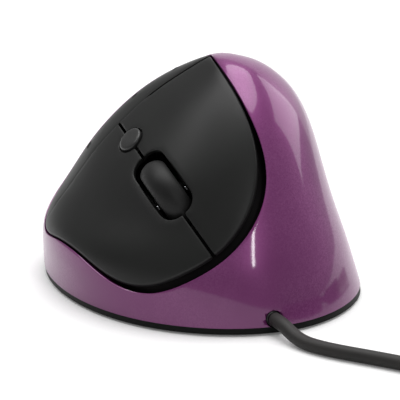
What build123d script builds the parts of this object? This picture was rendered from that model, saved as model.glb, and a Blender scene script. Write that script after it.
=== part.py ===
from build123d import *

import math
import os
from functools import cache

os.makedirs("parts", exist_ok=True)

# Overall sizes of the mouse, in millimetres
body_length = 100.0
body_width = 82.0
body_height = 63.5

# Walls, seams and clearances
shell_wall = 2.0
panel_wall = 1.3
frame_wall = 1.15
frame_clearance = 0.15
seam_gap = 0.45
band_gap = 2.2
slit_width = 0.75
web_gap = 0.15
web_half = 11.5
seat_gap = 0.1
fit_gap = 0.02
running_gap = 0.05
contact_gap = 0.05
overrun = 10.0
least_section = 2.0
along_limit = 0.9

# Base plate, feet and the four posts that hold the shell on it
foot_stand = 0.6
foot_thick = 0.8
foot_length = 18.0
foot_width = 6.0
base_thick = 1.6
base_inset = 0.25
spigot_height = 2.4
spigot_wall = 1.3
spigot_clearance = 0.25
post_radius = 3.0
post_height = 8.0
rib_thick = 1.8
screw_radius = 1.1
screw_length = 6.5
screw_head_radius = 2.4
screw_head_thick = 1.1

# Finger panel: where its plane stands, and the tongues' root
slit_fall = 24.4
panel_roll = 38.0
root_middle = 35.2
root_end = 31.0
root_half_span = 33.0
panel_reach = 26.0
frame_rim = 3.0
peg_radius = 1.4
boss_radius = 2.0
boss_outset = 3.4
boss_length = 10.8
boss_screw_head_radius = 2.6
pad_radius = 3.5
small_screw_radius = 0.8
small_screw_length = 5.0
small_head_radius = 2.0
small_head_thick = 1.1

# Scroll wheel and its rocking cradle
slot_length = 22.4
slot_width = 10.0
slot_corner = 4.2
slot_back = 2.5
wheel_radius = 11.5
wheel_shoulder_radius = 9.3
wheel_width = 7.5
wheel_rise = 3.0
rim_radius = 8.8
rim_inner_radius = 7.8
rim_width = 7.0
web_thick = 1.6
hub_boss_radius = 3.0
hub_boss_width = 8.6
window_count = 18
window_radius = 6.3
window_length = 1.8
window_width = 1.1
axle_radius = 1.2
axle_length = 12.8
arm_thick = 1.5
arm_inner = 4.6
arm_boss_radius = 2.5
pin_boss_radius = 2.2
pin_radius = 1.0
pin_behind = 15.5
pin_below = 2.5
bar_ahead = 13.9
bar_below = 2.7
bar_radius = 1.3
ear_thick = 1.6
ear_inner = 6.8
ear_half_width = 2.5

# Pointer speed button
speed_across = 7.0
speed_along = 7.6
speed_place = 23.5
speed_rise = 0.8
speed_gap = 0.4
speed_flange = 1.0
speed_flange_wall = 0.3
speed_flange_gap = 0.25
speed_stem_radius = 1.2

# Switch board, behind the finger panel
board_thick = 1.6
board_depth = 17.0
board_back = 29.0
board_front = 13.0
board_half_width = 15.5
board_slot_margin = 1.6
board_post_radius = 2.2
switch_length = 12.8
switch_width = 5.8
switch_height = 6.5
switch_ahead = 6.2
switch_aside = 11.0
plunger_length = 1.2
plunger_width = 2.9
plunger_rise = 0.75
plunger_sink = 1.0
plunger_travel = 0.7
button_post_radius = 1.6
wheel_switch_length = 5.0
wheel_switch_width = 3.6
speed_switch_side = 6.0
speed_switch_height = 3.8
round_plunger_radius = 0.9
round_plunger_rise = 0.6
optic_length = 4.0
optic_width = 2.4
optic_height = 3.6
optic_aside = 7.4

# Main board on the base plate
main_length = 50.0
main_width = 40.0
main_centre_x = 3.0
main_centre_y = -2.0
main_corner = 3.0
main_stand = 3.0
main_post_radius = 2.4
main_post_inset = 4.0
sensor_length = 12.0
sensor_width = 9.9
sensor_height = 3.4
aperture_length = 12.0
aperture_width = 7.0
lens_margin = 2.0
lamp_radius = 2.5
lamp_length = 5.5
clip_wall = 0.8
chip_length = 10.0
chip_width = 6.0
chip_height = 1.8
leg_count = 8
leg_width = 0.5
leg_reach = 1.0
capacitor_radius = 2.6
capacitor_height = 7.5
socket_length = 9.6
socket_depth = 4.6
socket_height = 5.0
ribbon_width = 6.0
ribbon_thick = 0.4
ribbon_drop = 4.0
ribbon_shift = 10.0
ribbon_bend = 3.0
ribbon_socket_depth = 3.0
ribbon_socket_height = 3.2

# Cord, its exit and its plug
cord_diameter = 3.7
cord_radius = cord_diameter / 2
exit_clearance = 0.4
relief_length = 6.0
relief_flange = 1.5
relief_flange_thick = 1.5
tail_length = 5.0
wire_radius = 0.4
wire_start_pitch = 0.9
wire_end_pitch = 2.0
wire_bend = 1.5
coil_turns = 5
coil_outer_radius = 30.8
coil_gap = 0.5
coil_lift = 1.0
tie_thick = 0.7
tie_width = 6.0
tie_clearance = 0.3
tie_slack = 0.8
grip_length = 22.0
grip_width = 15.6
grip_height = 8.0
grip_round = 2.4
plug_length = 18.7
plug_width = 12.0
plug_height = 4.5
plug_wall = 0.35
tongue_height = 1.8
tongue_short = 1.2
contact_count = 4
contact_width = 1.0
contact_length = 7.5
contact_thick = 0.15

# Sections of the outer form from the floor up, as shares of the overall sizes: height, then left, right,
# front and back extremes, then where front, back, left and right extremes lie on the other axis
FORM_SHARES = (
    (0.0, -0.490, 0.500, -0.500, 0.500, 0.014, 0.021, 0.064, -0.032),
    (0.06, -0.4955, 0.485, -0.494, 0.498, 0.013, 0.021, 0.064, -0.032),
    (0.12, -0.498, 0.469, -0.486, 0.494, 0.012, 0.021, 0.064, -0.032),
    (0.25, -0.494, 0.437, -0.462, 0.4755, 0.008, 0.021, 0.064, -0.032),
    (0.40, -0.4135, 0.403, -0.423, 0.4415, 0.003, 0.021, 0.053, -0.021),
    (0.56, -0.3225, 0.380, -0.372, 0.394, 0.0, 0.026, 0.0425, -0.0105),
    (0.72, -0.213, 0.356, -0.3085, 0.3165, 0.0065, 0.036, 0.032, -0.011),
    (0.85, -0.109, 0.3095, -0.233, 0.214, 0.031, 0.052, 0.011, -0.011),
    (0.93, -0.027, 0.242, -0.170, 0.122, 0.052, 0.068, -0.011, -0.016),
    (0.975, 0.0195, 0.174, -0.121, 0.052, 0.0675, 0.078, -0.0255, -0.0255),
    (0.993, 0.044, 0.125, -0.079, 0.017, 0.0805, 0.083, -0.032, -0.032),
    (0.999, 0.066, 0.102, -0.050, -0.014, 0.084, 0.084, -0.032, -0.032),
)
FULLNESS_SHARE = 0.72

# Each corner of the cord's route is rounded by this share of the shorter run beside it
CORNER_SHARE = 0.45

# Where the middle of the wheel slot's line stands on the finger face
PANEL_CENTRE_SHARES = (-0.275, -0.215, 0.545)

# The shell's opening for the finger panel, seen square to the panel: along the slit (share of the length),
# across it (share of the width), and how much of the wide dark band shows there
PANEL_EDGE_SHARES = (
    (-0.310, 0.382, 0.0),
    (-0.170, 0.372, 0.05),
    (-0.040, 0.352, 0.2),
    (0.070, 0.311, 0.7),
    (0.152, 0.237, 1.0),
    (0.206, 0.137, 1.0),
    (0.233, 0.015, 1.0),
    (0.224, -0.107, 0.95),
    (0.176, -0.228, 0.7),
    (0.097, -0.300, 0.35),
    (-0.052, -0.351, 0.1),
    (-0.185, -0.3915, 0.0),
    (-0.295, -0.4135, 0.0),
    (-0.372, -0.365, 0.0),
    (-0.423, -0.254, 0.0),
    (-0.449, -0.101, 0.0),
    (-0.452, 0.057, 0.0),
    (-0.430, 0.216, 0.0),
    (-0.386, 0.3305, 0.0),
)
BOSS_EDGE_PLACES = (2, 5, 15)

# Places on the panel, as shares of the length and width of the body
PEG_SHARES = ((-0.405, -0.12), (-0.410, 0.10), (-0.375, 0.26))
BOARD_POST_SHARES = ((-0.8966, -0.8041), (-0.8966, 0.8041), (-0.2586, -0.8041), (-0.2586, 0.8041))

# Places on the base, as shares of the body's width and length
POST_SHARES = ((0.34, -0.22), (0.33, 0.24), (-0.28, 0.30), (-0.36, -0.12))
FOOT_SHARES = ((0.02, -0.40, 0.0), (-0.36, 0.06, 90.0), (0.38, 0.0, 90.0), (0.02, 0.41, 0.0))

# Places on the main board, as shares of its width and length from its centre
SENSOR_SHARES = (0.0, -0.02)
CHIP_SHARES = (0.29, 0.26)
CAPACITOR_SHARES = (0.28, -0.26)

# The cord's route, chosen by hand, from the front wall to the coil, and from the coil to the plug
CORD_ROUTE = (
    (-5.7, -48.6, 4.2),
    (-5.7, -52.5, 4.2),
    (-5.3, -56.4, 2.6),
    (-4.7, -60.9, 1.85),
    (-2.8, -65.9, 1.85),
    (0.2, -71.0, 1.85),
    (3.9, -76.4, 1.85),
    (8.4, -83.4, 1.85),
    (10.8, -87.9, 1.95),
    (12.4, -92.7, 2.4),
    (13.0, -97.6, 2.85),
    (13.0, -101.3, 2.85),
)
CORD_END_ROUTE = (
    (0.0, 0.0, 0.0),
    (0.0, 7.0, 0.0),
    (-1.5, 15.0, -2.2),
    (-2.0, 22.0, -3.0),
    (-2.0, 28.5, -3.0),
)

# Heights that follow from the sizes above
base_top = foot_stand + base_thick
shell_bottom = base_top + seat_gap
frame_top_inset = shell_wall + frame_clearance
frame_low_inset = frame_top_inset + frame_wall
coil_pitch = cord_diameter + coil_gap
coil_low = coil_lift + cord_radius
main_low = base_top + main_stand
main_top = main_low + board_thick


def section_points(row, inset):
    """The eight points of one level of the form, drawn in by the inset."""
    _, left, right, front, back, nose, tail, left_middle, right_middle = row
    low_x = left * body_width + inset
    high_x = right * body_width - inset
    low_y = front * body_length + inset
    high_y = back * body_length - inset
    if min(high_x - low_x, high_y - low_y) < least_section:
        return None
    nose_x = nose * body_width
    tail_x = tail * body_width
    left_y = left_middle * body_length
    right_y = right_middle * body_length

    def between(x, y, x0, y0):
        return (x0 + (x - x0) * FULLNESS_SHARE, y0 + (y - y0) * FULLNESS_SHARE)

    return (
        (tail_x, high_y),
        between(low_x, high_y, tail_x, left_y),
        (low_x, left_y),
        between(low_x, low_y, nose_x, left_y),
        (nose_x, low_y),
        between(high_x, low_y, nose_x, right_y),
        (high_x, right_y),
        between(high_x, high_y, tail_x, right_y),
    )


@cache
def form(inset):
    """The mouse's outer form, drawn in and lowered by the inset all over."""
    wires = []
    for row in FORM_SHARES:
        points = section_points(row, inset)
        if points is None:
            break
        height = row[0] * body_height - inset
        wires.append(Wire([Spline(*[(x, y, height) for x, y in points], periodic=True)]))
    return Solid.make_loft(wires)


def slab(low, high):
    """Everything between two heights."""
    size = 2 * (body_length + body_width)
    return Pos(0, 0, low) * Box(size, size, high - low, align=(Align.CENTER, Align.CENTER, Align.MIN))


def panel_plane():
    """The finger panel's plane: X along the slit to the front, Y across it upwards, Z out of the panel."""
    fall = math.radians(slit_fall)
    roll = math.radians(panel_roll)
    along = Vector(0, -math.cos(fall), -math.sin(fall))
    rise = Vector(0, -math.sin(fall), math.cos(fall))
    out = rise * math.cos(roll) - Vector(1, 0, 0) * math.sin(roll)
    share_x, share_y, share_z = PANEL_CENTRE_SHARES
    centre = (share_x * body_width, share_y * body_length, share_z * body_height)
    return Plane(origin=centre, x_dir=along, z_dir=out)


PANEL = panel_plane()


def on_panel(shape):
    """Moves a shape from the panel's own axes to the mouse's."""
    return PANEL.location * shape


def prism(face, low=-panel_reach, high=overrun):
    """A panel outline extruded square to the panel."""
    return extrude(PANEL.offset(low) * face, amount=high - low, dir=PANEL.z_dir)


@cache
def surface_height(along, across):
    """How far out of the panel's plane the form's surface stands."""
    start = PANEL.from_local_coords(Vector(along, across, body_height))
    skin = form(0).faces().sort_by(SortBy.AREA)[-1]
    hits = skin.find_intersection_points(Axis(start, -PANEL.z_dir))
    return max(PANEL.to_local_coords(point).Z for point, _ in hits)


def peg(along, across, low, high, radius):
    """A round peg square to the panel."""
    solid = Cylinder(radius, high - low, align=(Align.CENTER, Align.CENTER, Align.MIN))
    return on_panel(Pos(along, across, low) * solid)


def block(along, across, low, length, width, height):
    """A box on the panel's axes, standing on the low level."""
    solid = Box(length, width, height, align=(Align.CENTER, Align.CENTER, Align.MIN))
    return on_panel(Pos(along, across, low) * solid)


def side_plate(face, near, far):
    """A face drawn along the slit and out of the panel, extruded across the slit."""
    return on_panel(Rot(90, 0, 0) * (Pos(0, 0, -far) * extrude(face, amount=far - near)))


def edge_rows():
    """The opening's points with the outward direction at each."""
    points = [Vector(a * body_length, b * body_width) for a, b, _ in PANEL_EDGE_SHARES]
    rows = []
    for place, point in enumerate(points):
        ahead = points[(place + 1) % len(points)]
        behind = points[place - 1]
        run = (ahead - behind).normalized()
        rows.append((point, Vector(-run.Y, run.X)))
    return rows


def edge_face(shifts):
    """The opening's outline with each of its points moved outwards by its own shift."""
    rows = zip(edge_rows(), shifts)
    return make_face(Spline(*[point + outward * shift for (point, outward), shift in rows], periodic=True))


def opening_face(shift=0.0):
    """The shell's opening round the finger panel, or the same outline moved outwards."""
    return edge_face([shift] * len(PANEL_EDGE_SHARES))


def panel_face():
    """The panel's own outline, inside the opening by the seam and the dark band."""
    return edge_face([-seam_gap - band * (band_gap - seam_gap) for _, _, band in PANEL_EDGE_SHARES])


def ahead_of_root(shift):
    """Everything in front of the tongues' root line, moved forward by the shift."""
    low = (shift - root_end, -root_half_span)
    middle = (shift - root_middle, 0)
    high = (shift - root_end, root_half_span)
    far_high = (body_length, root_half_span + overrun)
    far_low = (body_length, -root_half_span - overrun)
    out_high = (shift - root_end, root_half_span + overrun)
    out_low = (shift - root_end, -root_half_span - overrun)
    edges = ThreePointArc(low, middle, high) + Polyline(high, out_high, far_high, far_low, out_low, low)
    return make_face(edges)


def slot_face(grow=0.0):
    """The wheel's slot."""
    face = RectangleRounded(slot_length + 2 * grow, slot_width + 2 * grow, slot_corner + grow)
    return Pos(-slot_back, 0) * face


def speed_face(grow=0.0):
    """The pointer speed button's oval."""
    return Pos(-speed_place, 0) * Ellipse(speed_along / 2 + grow, speed_across / 2 + grow)


def tongue_faces():
    """Outlines of the two button tongues and of the fixed panel behind them."""
    panel = panel_face()
    web = Rectangle(body_length, 2 * web_half)
    front = ahead_of_root(seam_gap) + (ahead_of_root(web_gap) & web)
    cut = slot_face() + speed_face(speed_gap) + Rectangle(2 * body_length, slit_width)
    tongues = (panel & front) - cut
    upper = tongues & (Pos(0, body_width / 2) * Rectangle(2 * body_length, body_width))
    lower = tongues & (Pos(0, -body_width / 2) * Rectangle(2 * body_length, body_width))
    palm = panel - ahead_of_root(0)
    return upper, lower, palm


@cache
def panel_skin():
    """The layer that the tongues and the palm panel are cut from."""
    return (form(0) & prism(opening_face())) - form(panel_wall)


def plunger_top():
    """The level of the click switches' plungers."""
    return switch_height + plunger_rise - board_depth


def button(face, side):
    """One button tongue with the post that reaches its switch."""
    across = side * switch_aside
    top = surface_height(switch_ahead, across) - panel_wall
    post = peg(switch_ahead, across, plunger_top() + contact_gap, top, button_post_radius)
    return (panel_skin() & prism(face)) + post


def palm_panel(face):
    """The fixed black panel behind the tongues, with its three pegs."""
    solid = panel_skin() & prism(face)
    for share_along, share_across in PEG_SHARES:
        along = share_along * body_length
        across = share_across * body_width
        top = surface_height(along, across) - panel_wall
        low = top - 2 * (frame_low_inset - panel_wall) - peg_radius
        solid = solid + peg(along, across, low, top, peg_radius)
    return solid


def boss_places():
    """Where the shell's bosses stand, outside the opening."""
    rows = edge_rows()
    return [rows[place][0] + rows[place][1] * boss_outset for place in BOSS_EDGE_PLACES]


def main_shell():
    """The purple housing."""
    wall = form(0) - form(shell_wall)
    wall = wall & slab(shell_bottom, body_height + overrun)
    wall = wall - prism(opening_face())
    extras = []
    holes = [cord_hole()]
    for place in boss_places():
        high = surface_height(place.X, place.Y)
        low = high - boss_length
        extras.append(peg(place.X, place.Y, low, high, boss_radius))
        high = low + small_screw_length - seat_gap
        holes.append(peg(place.X, place.Y, low, high, small_screw_radius + fit_gap))
    for x, y in post_places():
        extras.append(Pos(x, y, shell_bottom) * upright(post_radius, post_height))
        extras.append(post_rib(x, y, rib_thick, shell_bottom, shell_bottom + post_height))
        holes.append(Pos(x, y, shell_bottom) * upright(screw_radius + fit_gap, screw_length))
    extra = extras[0] + extras[1:]
    return wall + (extra & form(shell_wall / 2)) - holes


def upright(radius, height):
    """A vertical cylinder that stands on its place."""
    return Cylinder(radius, height, align=(Align.CENTER, Align.CENTER, Align.MIN))


def post_places():
    """The four screw posts' places on the base."""
    return [(a * body_width, b * body_length) for a, b in POST_SHARES]


def post_rib(x, y, thick, low, high):
    """A rib that runs outwards from a post to the wall."""
    turn = math.degrees(math.atan2(y, x))
    rib = Box(body_width / 4, thick, high - low, align=(Align.MIN, Align.CENTER, Align.MIN))
    return Pos(x, y, low) * Rot(0, 0, turn) * rib


def cord_hole():
    """The arch that the cord leaves through."""
    x, y, z = CORD_ROUTE[0]
    hole = Pos(x, y, z) * Rot(90, 0, 0) * Cylinder(cord_radius + exit_clearance, 2 * overrun)
    return hole


def base_plate():
    """The black bottom plate with its spigot, posts and recesses."""
    plate = form(base_inset) & slab(foot_stand, base_top)
    outer = form(shell_wall + spigot_clearance)
    inner = form(shell_wall + spigot_clearance + spigot_wall)
    rim = (outer & slab(base_top - base_thick / 2, base_top + spigot_height)) - inner
    rooms = []
    for x, y in post_places():
        rooms.append(post_rib(x, y, rib_thick + 2 * spigot_clearance, base_top, base_top + post_height))
        rooms.append(Pos(x, y, base_top) * upright(post_radius + spigot_clearance, post_height))
    x, y, z = CORD_ROUTE[0]
    room = 2 * (cord_radius + relief_flange + spigot_clearance)
    rooms.append(
        Pos(x, y, base_top) * Box(room, 2 * overrun, overrun, align=(Align.CENTER, Align.CENTER, Align.MIN))
    )
    posts = []
    holes = [cord_hole()] + foot_solids(fit_gap)
    for x, y in main_post_places():
        foot = base_top - base_thick / 2
        posts.append(Pos(x, y, foot) * upright(main_post_radius, main_stand + base_thick / 2))
        holes.append(Pos(x, y, base_top - base_thick / 2) * upright(small_screw_radius + fit_gap, overrun))
    for x, y in post_places():
        holes.append(Pos(x, y, 0) * upright(screw_radius + fit_gap, overrun))
        head_room = foot_stand + screw_head_thick + fit_gap
        holes.append(Pos(x, y, 0) * upright(screw_head_radius + fit_gap, head_room))
    x, y = sensor_place()
    aperture = extrude(SlotOverall(aperture_length, aperture_width), amount=overrun)
    holes.append(Pos(x, y, 0) * Rot(0, 0, 90) * aperture)
    return plate + (rim - rooms) + posts - holes


def foot_solids(grow=0.0):
    """The glide feet, or their recesses when grown."""
    feet = []
    for share_x, share_y, turn in FOOT_SHARES:
        face = SlotOverall(foot_length + 2 * grow, foot_width + 2 * grow)
        place = Pos(share_x * body_width, share_y * body_length, 0) * Rot(0, 0, turn)
        feet.append(place * extrude(face, amount=foot_thick + grow))
    return feet


def base_screws():
    """Screws that hold the base plate to the shell's posts."""
    screws = []
    for x, y in post_places():
        head = Pos(x, y, foot_stand + seat_gap) * upright(screw_head_radius, screw_head_thick - seat_gap)
        shank_low = foot_stand + seat_gap
        shank = Pos(x, y, shank_low) * upright(screw_radius, shell_bottom + screw_length - seat_gap - shank_low)
        screws.append(head + shank)
    return screws


def button_frame():
    """The black frame under the finger panel, which carries the switch board and the wheel's pin."""
    layer = (form(frame_top_inset) - form(frame_low_inset)) & prism(opening_face(frame_rim))
    layer = layer & slab(base_top + spigot_height + spigot_clearance, body_height)
    pin_level = wheel_level() - pin_below
    extras = []
    cuts = [prism(slot_face(slot_width / 6))]
    for place in boss_places():
        high = surface_height(place.X, place.Y)
        extras.append(peg(place.X, place.Y, high - boss_length - seat_gap, high, pad_radius))
        cuts.append(peg(place.X, place.Y, high - 2 * boss_length, high, boss_radius + 2 * seat_gap))
    for along, across in board_post_places():
        high = surface_height(along, across) - frame_top_inset
        hole_high = small_screw_length - board_depth
        extras.append(peg(along, across, seat_gap - board_depth, high, board_post_radius))
        cuts.append(peg(along, across, -board_depth, hole_high, small_screw_radius + fit_gap))
    ear_low = pin_level - ear_half_width
    ear_height = surface_height(-pin_place(), ear_inner) - frame_top_inset - ear_low
    for side in (-1, 1):
        across = side * (ear_inner + ear_thick / 2)
        extras.append(block(-pin_place(), across, ear_low, 2 * ear_half_width, ear_thick, ear_height))
        hole_low = plunger_top() - overrun
        cuts.append(peg(switch_ahead, side * switch_aside, hole_low, overrun, button_post_radius + seam_gap))
    for share_along, share_across in PEG_SHARES:
        along = share_along * body_length
        across = share_across * body_width
        cuts.append(peg(along, across, -panel_reach, overrun, peg_radius + seat_gap))
    for x, y in post_places():
        cuts.append(post_rib(x, y, rib_thick + 2 * spigot_clearance, 0, shell_bottom + post_height + spigot_clearance))
        room = upright(post_radius + spigot_clearance, shell_bottom + post_height + spigot_clearance)
        cuts.append(Pos(x, y, 0) * room)
    cuts.append(peg(-speed_place, 0, overrun / 2 - board_depth, overrun, speed_stem_radius + 3 * seat_gap))
    cuts.append(across_rod(-pin_place(), pin_level, pin_radius + fit_gap, 2 * (ear_inner + ear_thick) + overrun))
    extra = extras[0] + extras[1:]
    return layer + (extra & form(frame_top_inset + frame_wall / 2)) - cuts


def board_post_places():
    """Where the switch board's four posts stand."""
    return [(a * board_back, b * board_half_width) for a, b in BOARD_POST_SHARES]


def frame_screws():
    """Screws that hold the frame to the shell's bosses."""
    screws = []
    for place in boss_places():
        low = surface_height(place.X, place.Y) - boss_length - seat_gap
        head = peg(place.X, place.Y, low - seat_gap - small_head_thick, low - seat_gap, boss_screw_head_radius)
        shank_high = low + small_screw_length - 2 * seat_gap
        shank = peg(place.X, place.Y, low - small_head_thick, shank_high, small_screw_radius)
        screws.append(head + shank)
    return screws


def wheel_level():
    """The wheel axis's level under the finger face."""
    return surface_height(-slot_back, 0) + wheel_rise - wheel_radius


def pin_place():
    """How far behind the panel's centre the cradle's pin lies."""
    return slot_back + pin_behind


def across_rod(along, level, radius, length):
    """A round rod across the slit."""
    return on_panel(Pos(along, 0, level) * Rot(90, 0, 0) * Cylinder(radius, length))


def wheel_place(shape):
    """Moves a shape whose axis is Z to the wheel's place and axis."""
    return on_panel(Pos(-slot_back, 0, wheel_level()) * Rot(90, 0, 0) * shape)


def wheel_tyre():
    """The crowned rubber tyre."""
    half = wheel_width / 2
    crown = ThreePointArc((wheel_shoulder_radius, -half), (wheel_radius, 0), (wheel_shoulder_radius, half))
    rest = Polyline(
        (wheel_shoulder_radius, half),
        (rim_radius + fit_gap, half),
        (rim_radius + fit_gap, -half),
        (wheel_shoulder_radius, -half),
    )
    profile = Plane.XZ * make_face(crown + rest)
    return wheel_place(revolve(profile, axis=Axis.Z))


def wheel_hub():
    """The hub: rim, web with its ring of light windows, and boss."""
    hub = Cylinder(rim_radius, rim_width) - Cylinder(rim_inner_radius, rim_width)
    hub = hub + Cylinder(rim_inner_radius + seat_gap, web_thick)
    hub = hub + Cylinder(hub_boss_radius, hub_boss_width)
    for spot in PolarLocations(window_radius, window_count):
        hub = hub - spot * Box(window_length, window_width, rim_width)
    return wheel_place(hub - Cylinder(axle_radius + fit_gap, 2 * hub_boss_width))


def wheel_axle():
    """The steel axle in the hub."""
    return wheel_place(Cylinder(axle_radius, axle_length))


def wheel_cradle():
    """The yoke that carries the wheel and rocks on its pin."""
    level = wheel_level()
    pin = Pos(-pin_place(), level - pin_below) * Circle(pin_boss_radius)
    hub = Pos(-slot_back, level) * Circle(arm_boss_radius)
    bar_place = (bar_ahead - slot_back, level - bar_below)
    bar = Pos(*bar_place) * Circle(bar_radius)
    arm = make_hull(pin.edges() + hub.edges()) + make_hull(hub.edges() + bar.edges())
    cradle = side_plate(arm, arm_inner, arm_inner + arm_thick)
    cradle = cradle + side_plate(arm, -arm_inner - arm_thick, -arm_inner)
    span = 2 * (arm_inner + arm_thick)
    cradle = cradle + across_rod(-pin_place(), level - pin_below, pin_boss_radius, span)
    cradle = cradle + across_rod(bar_place[0], bar_place[1], bar_radius, span)
    cradle = cradle - across_rod(-pin_place(), level - pin_below, pin_radius + running_gap, 2 * span)
    return cradle - across_rod(-slot_back, level, axle_radius + running_gap, 2 * span)


def cradle_pin():
    """The pin in the frame's ears."""
    length = 2 * (ear_inner + ear_thick)
    return across_rod(-pin_place(), wheel_level() - pin_below, pin_radius, length)


def speed_button():
    """The pointer speed button: cap, flange under the tongues, and stem."""
    flange_top = panel_wall + speed_flange_gap
    flange_low = flange_top + speed_flange_wall
    cap = (form(-speed_rise) & prism(speed_face())) - form(flange_low)
    flange = (form(flange_top) & prism(speed_face(speed_flange))) - form(flange_low)
    stem_low = speed_switch_top() + contact_gap
    stem_high = surface_height(-speed_place, 0) - flange_top
    return cap + flange + peg(-speed_place, 0, stem_low, stem_high, speed_stem_radius)


def speed_switch_top():
    """The top of the pointer speed switch's plunger."""
    return speed_switch_height + round_plunger_rise - board_depth


def switch_board():
    """The tilted board behind the finger panel."""
    length = board_back + board_front
    centre = (board_front - board_back) / 2
    board = block(centre, 0, -board_depth - board_thick, length, 2 * board_half_width, board_thick)
    drop = wheel_level() + board_depth
    half_chord = math.sqrt(wheel_radius**2 - drop**2) + board_slot_margin
    slot_wide = wheel_width + 2 * board_slot_margin
    board = board - block(-slot_back, 0, -board_depth - overrun, 2 * half_chord, slot_wide, 2 * overrun)
    for along, across in board_post_places():
        low = -board_depth - board_thick - overrun
        board = board - peg(along, across, low, 0, small_screw_radius + seat_gap)
    return board


def switch_case(along, across, length, width, height, pocket):
    """A switch's case on the switch board with its plunger's pocket."""
    case = block(along, across, -board_depth, length, width, height)
    edges = case.edges().filter_by(lambda edge: abs(edge.tangent_at(0).dot(PANEL.z_dir)) > along_limit)
    case = fillet(edges, contact_width / 2)
    return case - pocket


def click_switch(side):
    """The case and plunger of one click switch."""
    across = side * switch_aside
    sink = plunger_sink + plunger_travel
    low = switch_height - board_depth - sink
    pocket = block(
        switch_ahead, across, low, plunger_length + 2 * running_gap, plunger_width + 2 * running_gap, overrun
    )
    case = switch_case(switch_ahead, across, switch_length, switch_width, switch_height, pocket)
    base = switch_height - board_depth - plunger_sink
    plunger = block(switch_ahead, across, base, plunger_length, plunger_width, plunger_sink + plunger_rise)
    return case, plunger


def round_switch(along, length, width, height, radius):
    """The case and plunger of a small switch on the slit's line."""
    low = height - board_depth - plunger_sink - plunger_travel
    pocket = peg(along, 0, low, overrun, radius + running_gap)
    case = switch_case(along, 0, length, width, height, pocket)
    top = height - board_depth + round_plunger_rise
    plunger = peg(along, 0, height - board_depth - plunger_sink, top, radius)
    return case, plunger


def wheel_switch_height():
    """The wheel switch reaches up to the cradle's bar."""
    bar_low = wheel_level() - bar_below - bar_radius
    return bar_low - contact_gap - round_plunger_rise + board_depth


def optic(side):
    """The scroll lamp or detector beside the wheel's web."""
    body = block(-slot_back, side * optic_aside, -board_depth, optic_length, optic_width, optic_height)
    eye_level = wheel_level() - window_radius
    eye = on_panel(
        Pos(-slot_back, side * (optic_aside - optic_width / 2), eye_level) * Sphere(window_length / 2)
    )
    return body + eye


def board_screws():
    """Screws under the switch board and on the main board."""
    screws = []
    for along, across in board_post_places():
        low = -board_depth - board_thick - seat_gap
        head = peg(along, across, low - small_head_thick, low, small_head_radius)
        shank_high = small_screw_length - board_depth - seat_gap
        screws.append(head + peg(along, across, low - small_head_thick, shank_high, small_screw_radius))
    for x, y in main_post_places():
        low = base_top
        high = main_top + seat_gap + small_head_thick
        shank = Pos(x, y, low) * upright(small_screw_radius, high - low)
        head = Pos(x, y, main_top + seat_gap) * upright(small_head_radius, small_head_thick)
        screws.append(shank + head)
    return screws


def main_post_places():
    """The main board's four posts."""
    half_x = main_width / 2 - main_post_inset
    half_y = main_length / 2 - main_post_inset
    signs = ((-1, -1), (1, -1), (1, 1), (-1, 1))
    return [(main_centre_x + a * half_x, main_centre_y + b * half_y) for a, b in signs]


def main_place(shares):
    """A place on the main board from its shares."""
    return main_centre_x + shares[0] * main_width, main_centre_y + shares[1] * main_length


def sensor_place():
    """The middle of the motion sensor."""
    return main_place(SENSOR_SHARES)


def main_board():
    """The horizontal main board."""
    face = RectangleRounded(main_width, main_length, main_corner)
    board = Pos(main_centre_x, main_centre_y, main_low) * extrude(face, amount=board_thick)
    for x, y in main_post_places():
        board = board - Pos(x, y, main_low - seat_gap) * upright(small_screw_radius + seat_gap, overrun)
    x, y = sensor_place()
    return board - Pos(x, y, main_low) * Box(aperture_width / 2, aperture_width / 2, overrun)


def sensor_chip():
    """The motion sensor on the board, with its two rows of legs."""
    x, y = sensor_place()
    body = Box(sensor_width, sensor_length, sensor_height, align=(Align.CENTER, Align.CENTER, Align.MIN))
    chip = Pos(x, y, main_top) * body
    for side in (-1, 1):
        for row in range(leg_count // 2):
            along = (row - (leg_count // 2 - 1) / 2) * sensor_length / (leg_count // 2)
            leg = Box(leg_reach, leg_width, sensor_height / 2, align=(Align.CENTER, Align.CENTER, Align.MIN))
            chip = chip + Pos(x + side * (sensor_width + leg_reach) / 2, y + along, main_top) * leg
    return chip


def sensor_lens():
    """The clear lens between the board and the base plate's window."""
    x, y = sensor_place()
    width = aperture_width + 2 * lens_margin
    length = aperture_length + 2 * lens_margin
    height = main_stand - 2 * seat_gap
    plate = Box(width, length, height, align=(Align.CENTER, Align.CENTER, Align.MIN))
    lens = Pos(x, y, base_top + seat_gap) * plate
    nose = upright(aperture_width / 3, base_thick)
    return lens + Pos(x, y, foot_stand + base_thick / 2) * nose


def lamp_place():
    """The sensor lamp's middle, behind the sensor."""
    x, y = sensor_place()
    return x, y + sensor_length / 2 + seat_gap + clip_wall + lamp_length / 2, main_top + clip_wall + lamp_radius


def sensor_lamp():
    """The lamp that lights the surface under the mouse."""
    x, y, z = lamp_place()
    body = Pos(x, y, z) * Rot(90, 0, 0) * Cylinder(lamp_radius, lamp_length)
    flange = Pos(x, y + lamp_length / 2 - clip_wall / 2, z) * Rot(90, 0, 0)
    return body + flange * Cylinder(lamp_radius + clip_wall / 2, clip_wall)


def lamp_clip():
    """The saddle that holds the lamp on the board."""
    x, y, z = lamp_place()
    side = 2 * (lamp_radius + clip_wall)
    length = lamp_length - 2 * clip_wall
    height = 2 * lamp_radius + 2 * clip_wall
    box = Box(side, length, height, align=(Align.CENTER, Align.CENTER, Align.MIN))
    clip = Pos(x, y, main_top + seat_gap / 2) * box
    return clip - Pos(x, y, z) * Rot(90, 0, 0) * Cylinder(lamp_radius + fit_gap, lamp_length)


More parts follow.
